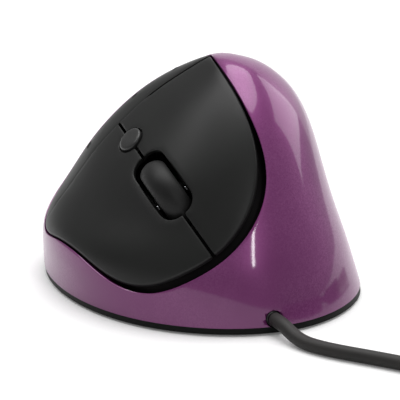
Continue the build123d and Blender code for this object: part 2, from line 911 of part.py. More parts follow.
def controller_chip():
    """The controller with its rows of legs."""
    x, y = main_place(CHIP_SHARES)
    body = Box(chip_width, chip_length, chip_height, align=(Align.CENTER, Align.CENTER, Align.MIN))
    chip = Pos(x, y, main_top + seat_gap) * body
    for side in (-1, 1):
        for row in range(leg_count):
            along = (row - (leg_count - 1) / 2) * chip_length / leg_count
            leg = Box(leg_reach, leg_width, chip_height / 2, align=(Align.CENTER, Align.CENTER, Align.MIN))
            chip = chip + Pos(x + side * (chip_width + leg_reach) / 2, y + along, main_top) * leg
    return chip


def capacitor():
    """The round capacitor, with the pressed ring near its foot."""
    x, y = main_place(CAPACITOR_SHARES)
    can = Pos(x, y, main_top) * upright(capacitor_radius, capacitor_height)
    groove = Pos(x, y, main_top + clip_wall) * (
        upright(capacitor_radius, clip_wall / 2) - upright(capacitor_radius - clip_wall / 4, clip_wall / 2)
    )
    return can - groove


def cable_socket_place():
    """The middle of the cable's socket, at the front edge of the main board."""
    return CORD_ROUTE[0][0], main_centre_y - main_length / 2 + socket_depth


def cable_socket():
    """The socket for the cable's wires."""
    x, y = cable_socket_place()
    body = Box(socket_length, socket_depth, socket_height, align=(Align.CENTER, Align.CENTER, Align.MIN))
    return Pos(x, y, main_top) * body


def strain_relief():
    """The moulded relief in the arch, with its flange behind the wall."""
    x, y, z = CORD_ROUTE[0]
    radius = cord_radius + exit_clearance - seat_gap
    body = Pos(x, y + relief_length / 2, z) * Rot(90, 0, 0) * Cylinder(radius, relief_length)
    side = 2 * (cord_radius + relief_flange)
    middle = y + relief_length - relief_flange_thick / 2
    flange = Pos(x, middle, base_top + seat_gap) * Box(
        side, relief_flange_thick, side, align=(Align.CENTER, Align.CENTER, Align.MIN)
    )
    return body + flange


def cable_tail():
    """The end of the cord's jacket inside the housing."""
    x, y, z = CORD_ROUTE[0]
    middle = y + relief_length + tail_length / 2
    return Pos(x, middle, z) * Rot(90, 0, 0) * Cylinder(cord_radius, tail_length)


def cable_wires():
    """Four thin wires from the jacket to the socket."""
    x, y, z = CORD_ROUTE[0]
    start = y + relief_length + tail_length
    _, socket_y = cable_socket_place()
    end = socket_y - socket_depth / 2
    level = main_top + socket_height / 3
    wires = []
    for row in range(contact_count):
        place = row - (contact_count - 1) / 2
        first = x + place * wire_start_pitch
        last = x + place * wire_end_pitch
        run = end - start
        points = (
            (first, start, z),
            (first, start + run / 4, z),
            (last, end - run / 4, level),
            (last, end, level),
        )
        path = FilletPolyline(*points, radius=wire_bend)
        section = Plane(origin=points[0], z_dir=(0, 1, 0)) * Circle(wire_radius)
        wires.append(sweep(section, path=path))
    return wires


def ribbon_socket_place():
    """Where the ribbon's upper socket sits under the switch board."""
    return ribbon_width / 2 + small_head_radius - board_back, -board_half_width / 4


def ribbon_plane():
    """The upright plane that the ribbon hangs in: X level and away from the panel, Y up."""
    heading = Vector(-PANEL.z_dir.X, -PANEL.z_dir.Y, 0).normalized()
    along, across = ribbon_socket_place()
    start = PANEL.from_local_coords(Vector(along, across, -board_depth - board_thick))
    return Plane(origin=start, x_dir=heading, z_dir=heading.cross(Vector(0, 0, 1)))


def ribbon_points():
    """The ribbon's route in its plane, from the switch board's socket down to the main board's."""
    plane = ribbon_plane()
    lean = math.hypot(PANEL.z_dir.X, PANEL.z_dir.Y)
    fall = PANEL.z_dir.Z
    mouth = ribbon_socket_height + seat_gap
    turn = mouth + ribbon_drop + ribbon_shift / 2
    floor = main_top + ribbon_socket_height + seat_gap - plane.origin.Z
    return (
        (lean * mouth, -fall * mouth),
        (lean * turn, -fall * turn),
        (lean * turn, floor),
    )


def ribbon_cable():
    """The flat cable between the boards."""
    path = FilletPolyline(*ribbon_points(), radius=ribbon_bend)
    strip = extrude(trace(path, ribbon_thick), amount=ribbon_width / 2, both=True)
    return ribbon_plane().location * strip


def ribbon_sockets():
    """The ribbon's two sockets."""
    plane = ribbon_plane()
    along, across = ribbon_socket_place()
    low = -board_depth - board_thick - ribbon_socket_height
    upper = on_panel(
        Pos(along, across, low)
        * Rot(0, 0, socket_turn())
        * Box(
            ribbon_socket_depth,
            ribbon_width + 2 * clip_wall,
            ribbon_socket_height,
            align=(Align.CENTER, Align.CENTER, Align.MIN),
        )
    )
    foot = plane.from_local_coords(Vector(ribbon_points()[2][0], 0, 0))
    turn = math.degrees(math.atan2(plane.x_dir.Y, plane.x_dir.X))
    lower = Pos(foot.X, foot.Y, main_top) * Rot(0, 0, turn) * Box(
        ribbon_socket_depth,
        ribbon_width + 2 * clip_wall,
        ribbon_socket_height,
        align=(Align.CENTER, Align.CENTER, Align.MIN),
    )
    return [upper, lower]


def socket_turn():
    """How far the upper socket is turned on the switch board, so that it faces the ribbon."""
    side = ribbon_plane().z_dir
    return math.degrees(math.atan2(side.dot(PANEL.y_dir), side.dot(PANEL.x_dir))) - 90


def corner_radii(points):
    """The arc at each corner of the cord's route."""
    radii = []
    for before, here, after in zip(points, points[1:], points[2:]):
        first = Vector(*here) - Vector(*before)
        second = Vector(*after) - Vector(*here)
        half_turn = math.radians(first.get_angle(second)) / 2
        radii.append(CORNER_SHARE * min(first.length, second.length) / math.tan(half_turn))
    return radii


def tube(points, name):
    """A cord's tube along straight runs joined by tangent arcs."""
    radii = corner_radii(points)
    path = FilletPolyline(*points, radius=radii)
    direction = Vector(*points[1]) - Vector(*points[0])
    section = Plane(origin=points[0], z_dir=direction) * Circle(cord_radius)
    solid = sweep(section, path=path)
    expected = math.pi * cord_radius**2 * path.length
    print(name, "radii", [round(radius, 1) for radius in radii], "length", round(path.length, 1))
    print(name, "volume", round(solid.volume, 1), "section times length", round(expected, 1))
    return solid


def coil_start():
    """Where the coil's first turn starts, one cord diameter past the end of the cord's own tube."""
    x, y, _ = CORD_ROUTE[-1]
    return x, y - cord_diameter


def coil_route():
    """The coil's half turns: start, middle and end of each, in on the lower layer and out on the upper."""
    x, y = coil_start()
    step = coil_pitch / 2
    half_turns = 2 * coil_turns
    radii = [coil_outer_radius - step * place for place in range(half_turns)]
    arcs = []
    level = coil_low
    side = 1
    for radius in radii:
        arcs.append(((x, y, level), (x + side * radius, y - side * radius, level), (x + 2 * side * radius, y, level)))
        x = x + 2 * side * radius
        side = -side
    radius = radii[-1] - step
    top = level + coil_pitch
    middle = (x + side * radius, y - side * math.hypot(radius, coil_pitch / 2), level + coil_pitch / 2)
    arcs.append(((x, y, level), middle, (x + 2 * side * radius, y, top)))
    x = x + 2 * side * radius
    side = -side
    for radius in reversed(radii):
        arcs.append(((x, y, top), (x + side * radius, y - side * radius, top), (x + 2 * side * radius, y, top)))
        x = x + 2 * side * radius
        side = -side
    return arcs


def coil_wire():
    """The coil's centre line with a straight end of one cord diameter at each side."""
    arcs = coil_route()
    first = Vector(*arcs[0][0])
    last = Vector(*arcs[-1][2])
    lead = Vector(0, cord_diameter, 0)
    edges = [Edge.make_line(first + lead, first)]
    edges += [Edge.make_three_point_arc(*arc) for arc in arcs]
    edges.append(Edge.make_line(last, last + lead))
    return edges


def least_gap(edges):
    """The coil's least gap to itself, measured between points on its centre line."""
    points = []
    travelled = 0.0
    for edge in edges:
        count = max(2, round(edge.length / cord_radius))
        for place in range(count):
            points.append((travelled + edge.length * place / count, edge.position_at(place / count)))
        travelled += edge.length
    least = body_length
    for number, (run, point) in enumerate(points):
        for other_run, other in points[number + 1 :]:
            if other_run - run > math.pi * cord_diameter:
                least = min(least, (other - point).length)
    return least - cord_diameter


def cord_coil():
    """The put-away coil: one tube, in on the lower layer and out again on the upper."""
    edges = coil_wire()
    path = Wire(edges)
    section = Plane(origin=edges[0].position_at(0), z_dir=(0, -1, 0)) * Circle(cord_radius)
    solid = sweep(section, path=path)
    print("coil length", round(path.length, 1), "least gap", round(least_gap(edges), 3))
    expected = math.pi * cord_radius**2 * path.length
    print("coil volume", round(solid.volume, 1), "section times length", round(expected, 1))
    return solid


def coil_end():
    """Where the coil's upper end stops."""
    return Vector(*coil_route()[-1][2]) + Vector(0, cord_diameter, 0)


def cord_tie():
    """The band round the bundle, at the coil's far side."""
    x, y = coil_start()
    outer = coil_outer_radius + cord_radius
    inner = coil_outer_radius - coil_pitch * coil_turns - cord_radius - tie_slack
    tall = coil_pitch + cord_diameter
    hole = Box(tie_width + overrun, outer - inner + 2 * tie_clearance, tall + 2 * tie_clearance)
    grow = 2 * (tie_clearance + tie_thick)
    band = Box(tie_width, outer - inner + grow, tall + grow)
    band = fillet(band.edges().filter_by(Axis.X), tie_thick)
    return Pos(x + coil_outer_radius, y - (outer + inner) / 2, coil_lift + tall / 2) * (band - hole)


def plug_place():
    """The plug's back face and axis, at the end of the cord."""
    return coil_end() + Vector(*CORD_END_ROUTE[-1])


def plug_grip():
    """The moulded grip."""
    place = plug_place()
    body = Box(grip_width, grip_length, grip_height, align=(Align.CENTER, Align.MIN, Align.CENTER))
    body = fillet(body.edges().filter_by(Axis.Y), grip_round)
    body = fillet(body.faces().sort_by(Axis.Y)[0].edges(), grip_round / 2)
    return Pos(place.X, place.Y, place.Z) * body


def plug_shell():
    """The metal shell, open at its mouth."""
    place = plug_place()
    outer = Box(plug_width, plug_length, plug_height, align=(Align.CENTER, Align.MIN, Align.CENTER))
    inner = Box(
        plug_width - 2 * plug_wall,
        plug_length,
        plug_height - 2 * plug_wall,
        align=(Align.CENTER, Align.MIN, Align.CENTER),
    )
    shell = outer - Pos(0, plug_wall, 0) * inner
    window = Box(plug_height / 2, plug_height / 2, overrun)
    for side in (-1, 1):
        shell = shell - Pos(side * plug_width / 4, plug_length / 2, overrun / 2) * window
    return Pos(place.X, place.Y + grip_length, place.Z) * shell


def plug_tongue():
    """The insulator inside the metal shell."""
    place = plug_place()
    width = plug_width - 2 * (plug_wall + fit_gap)
    length = plug_length - plug_wall - tongue_short - fit_gap
    height = plug_height / 2 - plug_wall - fit_gap
    low = height - tongue_height
    body = Pos(0, 0, low) * Box(width, length, tongue_height, align=(Align.CENTER, Align.MIN, Align.MIN))
    return Pos(place.X, place.Y + grip_length + plug_wall + fit_gap, place.Z) * body


def plug_contacts():
    """Four flat contacts on the insulator."""
    place = plug_place()
    low = plug_height / 2 - plug_wall - fit_gap - tongue_height - contact_thick
    pitch = (plug_width - 2 * plug_wall) / (contact_count + 1)
    end = place.Y + grip_length + plug_length - tongue_short - contact_width / 2
    contacts = []
    for row in range(contact_count):
        across = (row - (contact_count - 1) / 2) * pitch
        strip = Box(contact_width, contact_length, contact_thick, align=(Align.CENTER, Align.MAX, Align.MIN))
        contacts.append(Pos(place.X + across, end, place.Z + low) * strip)
    return contacts


def cord_end():
    """The short stretch from the coil to the plug."""
    start = coil_end()
    return tube([tuple(start + Vector(*point)) for point in CORD_END_ROUTE], "cord end")


def save(name, shape):
    """Writes one node: a solid, or a group of separate solids."""
    solids = shape if isinstance(shape, list) else [shape]
    found = [solid for item in solids for solid in item.solids()]
    node = found[0] if len(found) == 1 else Compound(children=found)
    node.label = name
    export_step(node, f"parts/{name}.step")
    print(name, len(found), round(sum(solid.volume for solid in found)))


def main():
    """Builds every node."""
    upper, lower, palm = tongue_faces()
    save("main_shell", main_shell())
    save("base_plate", base_plate())
    save("palm_panel", palm_panel(palm))
    save("button_frame", button_frame())
    save("left_click_button", button(upper, 1))
    save("right_click_button", button(lower, -1))
    save("speed_button", speed_button())
    save("wheel_tyre", wheel_tyre())
    save("wheel_hub", wheel_hub())
    save("wheel_axle", wheel_axle())
    save("wheel_cradle", wheel_cradle())
    save("cradle_pin", cradle_pin())
    save("switch_board", switch_board())
    for side, name in ((1, "left"), (-1, "right")):
        case, plunger = click_switch(side)
        save(f"{name}_switch_case", case)
        save(f"{name}_switch_plunger", plunger)
    case, plunger = round_switch(
        bar_ahead - slot_back, wheel_switch_length, wheel_switch_width, wheel_switch_height(), round_plunger_radius
    )
    save("wheel_switch_case", case)
    save("wheel_switch_plunger", plunger)
    case, plunger = round_switch(
        -speed_place, speed_switch_side, speed_switch_side, speed_switch_height, 2 * round_plunger_radius
    )
    save("speed_switch_case", case)
    save("speed_switch_plunger", plunger)
    save("scroll_lamp", optic(1))
    save("scroll_detector", optic(-1))
    save("ribbon_cable", ribbon_cable())
    save("ribbon_sockets", ribbon_sockets())
    save("main_board", main_board())
    save("sensor_chip", sensor_chip())
    save("sensor_lens", sensor_lens())
    save("sensor_lamp", sensor_lamp())
    save("lamp_clip", lamp_clip())
    save("controller_chip", controller_chip())
    save("capacitor", capacitor())
    save("cable_socket", cable_socket())
    save("strain_relief", strain_relief())
    save("cable_tail", cable_tail())
    save("cable_wires", cable_wires())
    save("glide_feet", foot_solids())
    save("base_screws", base_screws())
    save("board_screws", board_screws())
    save("frame_screws", frame_screws())
    save("cord", tube(CORD_ROUTE, "cord"))
    save("cord_coil", cord_coil())
    save("cord_tie", cord_tie())
    save("cord_end", cord_end())
    save("plug_grip", plug_grip())
    save("plug_shell", plug_shell())
    save("plug_tongue", plug_tongue())
    save("plug_contacts", plug_contacts())


main()
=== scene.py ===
"""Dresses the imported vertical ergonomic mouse: shell, finger panel, wheel, cord, plug and all its finishes."""

import logging
import math
from dataclasses import dataclass
from enum import Enum
from typing import Sequence

import bmesh
import bpy
import numpy as np
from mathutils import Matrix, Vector
from mathutils.bvhtree import BVHTree
from mathutils.geometry import delaunay_2d_cdt


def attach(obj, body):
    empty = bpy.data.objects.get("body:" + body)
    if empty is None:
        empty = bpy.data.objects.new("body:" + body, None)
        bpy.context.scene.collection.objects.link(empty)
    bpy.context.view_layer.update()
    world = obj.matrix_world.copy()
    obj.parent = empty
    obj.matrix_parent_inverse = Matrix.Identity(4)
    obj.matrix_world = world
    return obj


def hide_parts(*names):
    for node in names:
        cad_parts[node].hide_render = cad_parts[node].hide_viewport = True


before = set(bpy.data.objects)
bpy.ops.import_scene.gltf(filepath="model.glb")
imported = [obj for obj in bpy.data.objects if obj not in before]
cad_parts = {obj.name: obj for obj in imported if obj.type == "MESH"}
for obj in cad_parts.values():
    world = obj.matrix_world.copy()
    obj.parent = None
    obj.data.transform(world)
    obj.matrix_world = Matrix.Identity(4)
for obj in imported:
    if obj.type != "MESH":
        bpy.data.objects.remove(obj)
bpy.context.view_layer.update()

LOG = logging.getLogger("mouse")
MM = 0.001
DOWN = np.array((0.0, 0.0, -1.0))


# Finishes


def to_linear(code: str) -> tuple[float, float, float, float]:
    """Turns an sRGB hex colour into Blender's linear colour.

    Args:
        code: The colour as "#rrggbb".

    Returns:
        Linear red, green, blue and an alpha of one.
    """
    parts = [int(code[place : place + 2], 16) / 255 for place in (1, 3, 5)]
    linear = [part / 12.92 if part <= 0.04045 else ((part + 0.055) / 1.055) ** 2.4 for part in parts]
    return linear[0], linear[1], linear[2], 1.0


def add_node(tree: bpy.types.NodeTree, kind: str, settings: dict, links: dict | None = None) -> bpy.types.Node:
    """Adds one node to a tree.

    Args:
        tree: The node tree.
        kind: The node's Blender type.
        settings: Values for its inputs, by name or number, and for its own properties, by name.
        links: The sockets that feed its inputs, by name or number.

    Returns:
        The new node.
    """
    node = tree.nodes.new(kind)
    for key, value in settings.items():
        if isinstance(key, int) or key in node.inputs:
            node.inputs[key].default_value = value
        else:
            setattr(node, key, value)
    for key, source in (links or {}).items():
        tree.links.new(source, node.inputs[key])
    return node


class Grain(Enum):
    """How a surface was made, which sets its small relief."""

    POLISHED = "polished"
    SPARKED = "spark eroded"
    BRUSHED = "brushed"
    FLAKED = "flaked"
    WOVEN = "woven"


@dataclass(frozen=True)
class Finish:
    """One manufactured surface: its colours, gloss and small relief. Sizes are in millimetres."""

    name: str
    colour: str
    second: str
    patch: float
    roughness: float
    grain: Grain
    grain_size: float
    grain_depth: float
    rough_spread: float = 0.06
    metallic: float = 0.0
    ior: float = 1.5
    specular: float = 0.5
    coat: float = 0.0
    coat_roughness: float = 0.04
    sheen: float = 0.0
    sheen_colour: str = "#ffffff"
    transmission: float = 0.0

    def material(self) -> bpy.types.Material:
        """Gives the finish's material, made once.

        Returns:
            The material.
        """
        found = bpy.data.materials.get(self.name)
        if found:
            return found
        made = bpy.data.materials.new(self.name)
        made.use_nodes = True
        tree = made.node_tree
        tree.nodes.clear()
        place = add_node(tree, "ShaderNodeTexCoord", {}).outputs["Object"]
        patches = add_node(
            tree, "ShaderNodeTexNoise", {"Scale": 1 / (self.patch * MM), "Detail": 3.0}, {"Vector": place}
        ).outputs["Fac"]
        spread = add_node(
            tree,
            "ShaderNodeMapRange",
            {"From Min": 0.35, "From Max": 0.65, "To Min": 0.0, "To Max": 1.0},
            {"Value": patches},
        ).outputs["Result"]
        relief, mix = self.relief(tree, place, spread)
        colour = add_node(
            tree,
            "ShaderNodeMix",
            {"data_type": "RGBA", 6: to_linear(self.colour), 7: to_linear(self.second)},
            {0: mix},
        ).outputs[2]
        rough = add_node(
            tree,
            "ShaderNodeMapRange",
            {"To Min": self.roughness - self.rough_spread, "To Max": self.roughness + self.rough_spread},
            {"Value": patches},
        ).outputs["Result"]
        bump = add_node(
            tree, "ShaderNodeBump", {"Strength": 1.0, "Distance": self.grain_depth * MM}, {"Height": relief}
        ).outputs["Normal"]
        shader = add_node(
            tree,
            "ShaderNodeBsdfPrincipled",
            {
                "Metallic": self.metallic,
                "IOR": self.ior,
                "Specular IOR Level": self.specular,
                "Coat Weight": self.coat,
                "Coat Roughness": self.coat_roughness,
                "Sheen Weight": self.sheen,
                "Sheen Tint": to_linear(self.sheen_colour),
                "Transmission Weight": self.transmission,
            },
            {"Base Color": colour, "Roughness": rough, "Normal": bump},
        )
        add_node(tree, "ShaderNodeOutputMaterial", {}, {"Surface": shader.outputs["BSDF"]})
        return made

    def relief(
        self, tree: bpy.types.NodeTree, place: bpy.types.NodeSocket, spread: bpy.types.NodeSocket
    ) -> tuple[bpy.types.NodeSocket, bpy.types.NodeSocket]:
        """Adds the nodes of the grain.

        Args:
            tree: The material's node tree.
            place: The object coordinates.
            spread: The slow patches, from 0 to 1.

        Returns:
            The height for the bump, and the share of the second colour.
        """
        scale = 1 / (self.grain_size * MM)
        if self.grain is Grain.BRUSHED:
            stretch = add_node(tree, "ShaderNodeMapping", {"Scale": (1.0, 0.06, 1.0)}, {"Vector": place})
            lines = add_node(
                tree, "ShaderNodeTexNoise", {"Scale": scale, "Detail": 4.0}, {"Vector": stretch.outputs[0]}
            )
            return lines.outputs["Fac"], lines.outputs["Fac"]
        if self.grain is Grain.WOVEN:
            threads = add_node(
                tree, "ShaderNodeTexWave", {"Scale": scale / (2 * math.pi), "Distortion": 0.4}, {"Vector": place}
            )
            return threads.outputs["Fac"], spread
        if self.grain is Grain.FLAKED:
            flakes = add_node(tree, "ShaderNodeTexVoronoi", {"Scale": scale}, {"Vector": place})
            share = add_node(
                tree, "ShaderNodeMath", {"operation": "MULTIPLY"}, {0: flakes.outputs["Color"], 1: spread}
            )
            return flakes.outputs["Distance"], share.outputs[0]
        if self.grain is Grain.SPARKED:
            pits = add_node(
                tree, "ShaderNodeTexNoise", {"Scale": scale, "Detail": 2.0, "Roughness": 0.6}, {"Vector": place}
            )
            return pits.outputs["Fac"], spread
        ripple = add_node(tree, "ShaderNodeTexNoise", {"Scale": scale, "Detail": 1.0}, {"Vector": place})
        return ripple.outputs["Fac"], spread


# Pearlescent ABS under a clear coat: mica flakes warm the purple in the light and the coat mirrors the room.
PEARL_ABS = Finish(
    "pearl_abs_clear_coated", "#7c3370", "#96538b", 30.0, 0.36, Grain.FLAKED, 0.3, 0.0012,
    metallic=0.3, specular=0.2, coat=0.68, coat_roughness=0.075,
)
# ABS from a spark-eroded tool: an even satin black that scatters the lamp into a soft grey.
SATIN_ABS = Finish(
    "black_abs_spark_textured", "#181818", "#1d1e1d", 22.0, 0.42, Grain.SPARKED, 0.45, 0.006, specular=0.28,
)
# Moulded ABS of the inner frame, painted as the shade of the gap it sits in: nearly black, with a faint warm tint
# that is painted reflection of the purple shell beside it.
FRAME_ABS_PAINTED_SHADE = Finish(
    "black_abs_frame_painted_shade", "#070506", "#0b0809", 18.0, 0.5, Grain.SPARKED, 0.5, 0.006, specular=0.08,
)
# Moulded ABS base: fine texture, a little greyer where the mould was polished.
BASE_ABS = Finish("black_abs_base", "#0b0d0c", "#111312", 25.0, 0.5, Grain.SPARKED, 0.5, 0.01, specular=0.12)
# Slippery PTFE film: smooth, slightly waxy dark grey.
PTFE_FILM = Finish("ptfe_glide_film", "#242526", "#2e2f30", 9.0, 0.4, Grain.POLISHED, 1.2, 0.002, ior=1.35)
# Moulded silicone rubber: soft matt black that brightens at grazing light.
TYRE_RUBBER = Finish(
    "moulded_silicone_rubber", "#161616", "#1d1d1d", 7.0, 0.5, Grain.SPARKED, 0.3, 0.006,
    specular=0.25, sheen=0.04, sheen_colour="#c8c8c8",
)
# Glossier ABS of the small key: its domed edge catches a bright rim.
KEY_ABS = Finish("black_abs_satin_key", "#2a2a2a", "#333333", 5.0, 0.3, Grain.SPARKED, 0.3, 0.003, specular=0.4)
# Acetal hub: waxy black.
ACETAL = Finish(
    "black_acetal", "#0c0c0d", "#121213", 6.0, 0.55, Grain.POLISHED, 0.8, 0.004, specular=0.1, ior=1.48,
)
# Zinc-plated steel: fine drawn lines and a cool grey mirror.
ZINC_STEEL = Finish("zinc_plated_steel", "#b9bbbe", "#8f9296", 3.0, 0.28, Grain.BRUSHED, 0.3, 0.004, metallic=1.0)
# Epoxy glass board under green solder mask: weave shows through the lacquer.
SOLDER_MASK = Finish(
    "green_solder_mask", "#12452a", "#1b5a37", 6.0, 0.35, Grain.WOVEN, 0.6, 0.008, coat=0.4, coat_roughness=0.15,
)
# Glass-filled nylon switch cases: dull black with pale fibre specks.
FILLED_NYLON = Finish("glass_filled_nylon", "#17181a", "#2b2d30", 2.0, 0.5, Grain.SPARKED, 0.35, 0.01)
# White acetal plungers: milky, softly glossy.
WHITE_ACETAL = Finish("white_acetal", "#dcdcd4", "#cfcfc6", 2.0, 0.35, Grain.POLISHED, 0.6, 0.003)
# Infrared-pass epoxy of the optics: almost black with a violet cast.
FILTER_EPOXY = Finish("infrared_pass_epoxy", "#140c18", "#1d1222", 2.0, 0.12, Grain.POLISHED, 0.9, 0.002, coat=0.5)
# Clear polycarbonate lens: water clear with moulded flow lines.
CLEAR_PC = Finish(
    "clear_polycarbonate", "#eef3f5", "#e4ebee", 4.0, 0.07, Grain.POLISHED, 1.5, 0.003,
    rough_spread=0.02, ior=1.585, transmission=0.92,
)
# Red-tinted epoxy lamp: deep clear red.
RED_EPOXY = Finish(
    "red_tinted_epoxy", "#8d1a14", "#a32118", 2.0, 0.1, Grain.POLISHED, 1.0, 0.002, rough_spread=0.03,
    coat=0.5, transmission=0.4,
)
# Moulded epoxy chip package: dull dark grey, slightly grainy.
CHIP_EPOXY = Finish("moulded_chip_epoxy", "#1c1d1f", "#26272a", 2.0, 0.55, Grain.SPARKED, 0.25, 0.01)
# Extruded aluminium can: satin, with drawing marks along it.
ALUMINIUM_CAN = Finish("drawn_aluminium", "#c3c5c8", "#a7aaad", 3.0, 0.3, Grain.BRUSHED, 0.25, 0.004, metallic=1.0)
# Natural nylon connectors: warm white, faintly translucent.
NATURAL_NYLON = Finish("natural_nylon", "#e3dfd0", "#d6d1c0", 3.0, 0.4, Grain.POLISHED, 0.8, 0.004)
# Polyester ribbon film: pale grey with the conductors' ribs below the film.
RIBBON_FILM = Finish("polyester_ribbon_film", "#b9bcc0", "#8e9297", 1.2, 0.3, Grain.WOVEN, 0.5, 0.02, coat=0.3)
# PVC insulation of the thin wires: waxy mid grey.
WIRE_PVC = Finish("pvc_wire_insulation", "#55585c", "#64676b", 4.0, 0.38, Grain.POLISHED, 0.7, 0.004)
# Extruded PVC jacket: dark grey, satin, with the faint ripple of the wires laid up inside.
CORD_PVC = Finish(
    "extruded_pvc_jacket", "#31302f", "#393736", 12.0, 0.5, Grain.POLISHED, 2.4, 0.03, specular=0.25,
)
# Soft PVC moulded over the plug and the relief: finely textured black.
MOULDED_PVC = Finish("overmoulded_pvc", "#1b1b1b", "#232323", 8.0, 0.45, Grain.SPARKED, 0.4, 0.01)
# Nickel-plated brass of the plug's shell: bright, slightly warm.
NICKEL_PLATE = Finish("nickel_plated_brass", "#c9c6bf", "#aeaba4", 4.0, 0.22, Grain.BRUSHED, 0.3, 0.003, metallic=1.0)
# Gold flash on the contacts.
GOLD_FLASH = Finish("gold_flashed_contacts", "#d9a441", "#c08c2f", 2.0, 0.2, Grain.BRUSHED, 0.2, 0.002, metallic=1.0)

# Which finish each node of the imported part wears.
NODE_FINISHES: dict[str, Finish] = {
    "base_plate": BASE_ABS,
    # The frame's colour is painted gap shade with a painted reflection of the purple shell.
    "button_frame": FRAME_ABS_PAINTED_SHADE,
    "wheel_hub": ACETAL,
    "wheel_axle": ZINC_STEEL,
    "wheel_cradle": ACETAL,
    "cradle_pin": ZINC_STEEL,
    "switch_board": SOLDER_MASK,
    "left_switch_case": FILLED_NYLON,
    "right_switch_case": FILLED_NYLON,
    "wheel_switch_case": FILLED_NYLON,
    "speed_switch_case": FILLED_NYLON,
    "left_switch_plunger": WHITE_ACETAL,
    "right_switch_plunger": WHITE_ACETAL,
    "wheel_switch_plunger": WHITE_ACETAL,
    "speed_switch_plunger": WHITE_ACETAL,
    "scroll_lamp": FILTER_EPOXY,
    "scroll_detector": FILTER_EPOXY,
    "ribbon_cable": RIBBON_FILM,
    "ribbon_sockets": NATURAL_NYLON,
    "main_board": SOLDER_MASK,
    "sensor_chip": CHIP_EPOXY,
    "sensor_lens": CLEAR_PC,
    "sensor_lamp": RED_EPOXY,
    "lamp_clip": FRAME_ABS_PAINTED_SHADE,
    "controller_chip": CHIP_EPOXY,
    "capacitor": ALUMINIUM_CAN,
    "cable_socket": NATURAL_NYLON,
    "cable_tail": CORD_PVC,
    "cable_wires": WIRE_PVC,
    "glide_feet": PTFE_FILM,
    "base_screws": ZINC_STEEL,
    "board_screws": ZINC_STEEL,
    "frame_screws": ZINC_STEEL,
    "cord_tie": NATURAL_NYLON,
    "plug_shell": NICKEL_PLATE,
    "plug_tongue": NATURAL_NYLON,
    "plug_contacts": GOLD_FLASH,
}


# The outer form


class ClosedLine:
    """A smooth closed line through a ring of points: a cubic spline over the chords' lengths."""

    def __init__(self, points: Sequence[Sequence[float]]) -> None:
        """Works out the spline.

        Args:
            points: The points in order; the line ends where it starts, with one direction at both ends.
        """
        ring = np.asarray(points, float)
        count = len(ring)
        self.points = np.vstack([ring, ring[:1]])
        chords = np.linalg.norm(np.diff(self.points, axis=0), axis=1)
        self.knots = np.concatenate([[0], np.cumsum(chords)]) / chords.sum()
        steps = np.diff(self.knots)
        slopes = np.diff(self.points, axis=0) / steps[:, None]
        start = np.linalg.solve(np.vander(self.knots[:4], 4, increasing=True), self.points[:4])[1]
        left = np.zeros((count + 1, count + 1))
        right = np.zeros((count + 1, ring.shape[1]))
        for place in range(1, count):
            left[place, place - 1 : place + 2] = (
                steps[place - 1],
                2 * (steps[place - 1] + steps[place]),
                steps[place],
            )
            right[place] = 6 * (slopes[place] - slopes[place - 1])
        left[0, :2] = 2 * steps[0], steps[0]
        left[count, count - 1 :] = steps[-1], 2 * steps[-1]
        right[0] = 6 * (slopes[0] - start)
        right[count] = 6 * (start - slopes[-1])
        self.bends = np.linalg.solve(left, right)

    def at(self, shares: np.ndarray) -> np.ndarray:
        """Gives points on the line.

        Args:
            shares: Places along the line, 0 to 1.

        Returns:
            One row of coordinates for each place.
        """
        shares = np.asarray(shares, float) % 1.0
        place = np.clip(np.searchsorted(self.knots, shares, "right") - 1, 0, len(self.knots) - 2)
        step = (self.knots[place + 1] - self.knots[place])[:, None]
        low = (self.knots[place + 1] - shares)[:, None] / step
        high = 1 - low
        curve = (low**3 - low) * self.bends[place] + (high**3 - high) * self.bends[place + 1]
        return low * self.points[place] + high * self.points[place + 1] + curve * step * step / 6

    def even(self, count: int) -> np.ndarray:
        """Gives points at even distances along the line.

        Args:
            count: How many.

        Returns:
            The points, the first at the line's start.
        """
        shares = np.linspace(0, 1, 40 * count + 1)
        fine = self.at(shares[:-1])
        runs = np.linalg.norm(np.diff(np.vstack([fine, fine[:1]]), axis=0), axis=1)
        along = np.concatenate([[0], np.cumsum(runs)])
        return self.at(np.interp(np.arange(count) * along[-1] / count, along, shares))


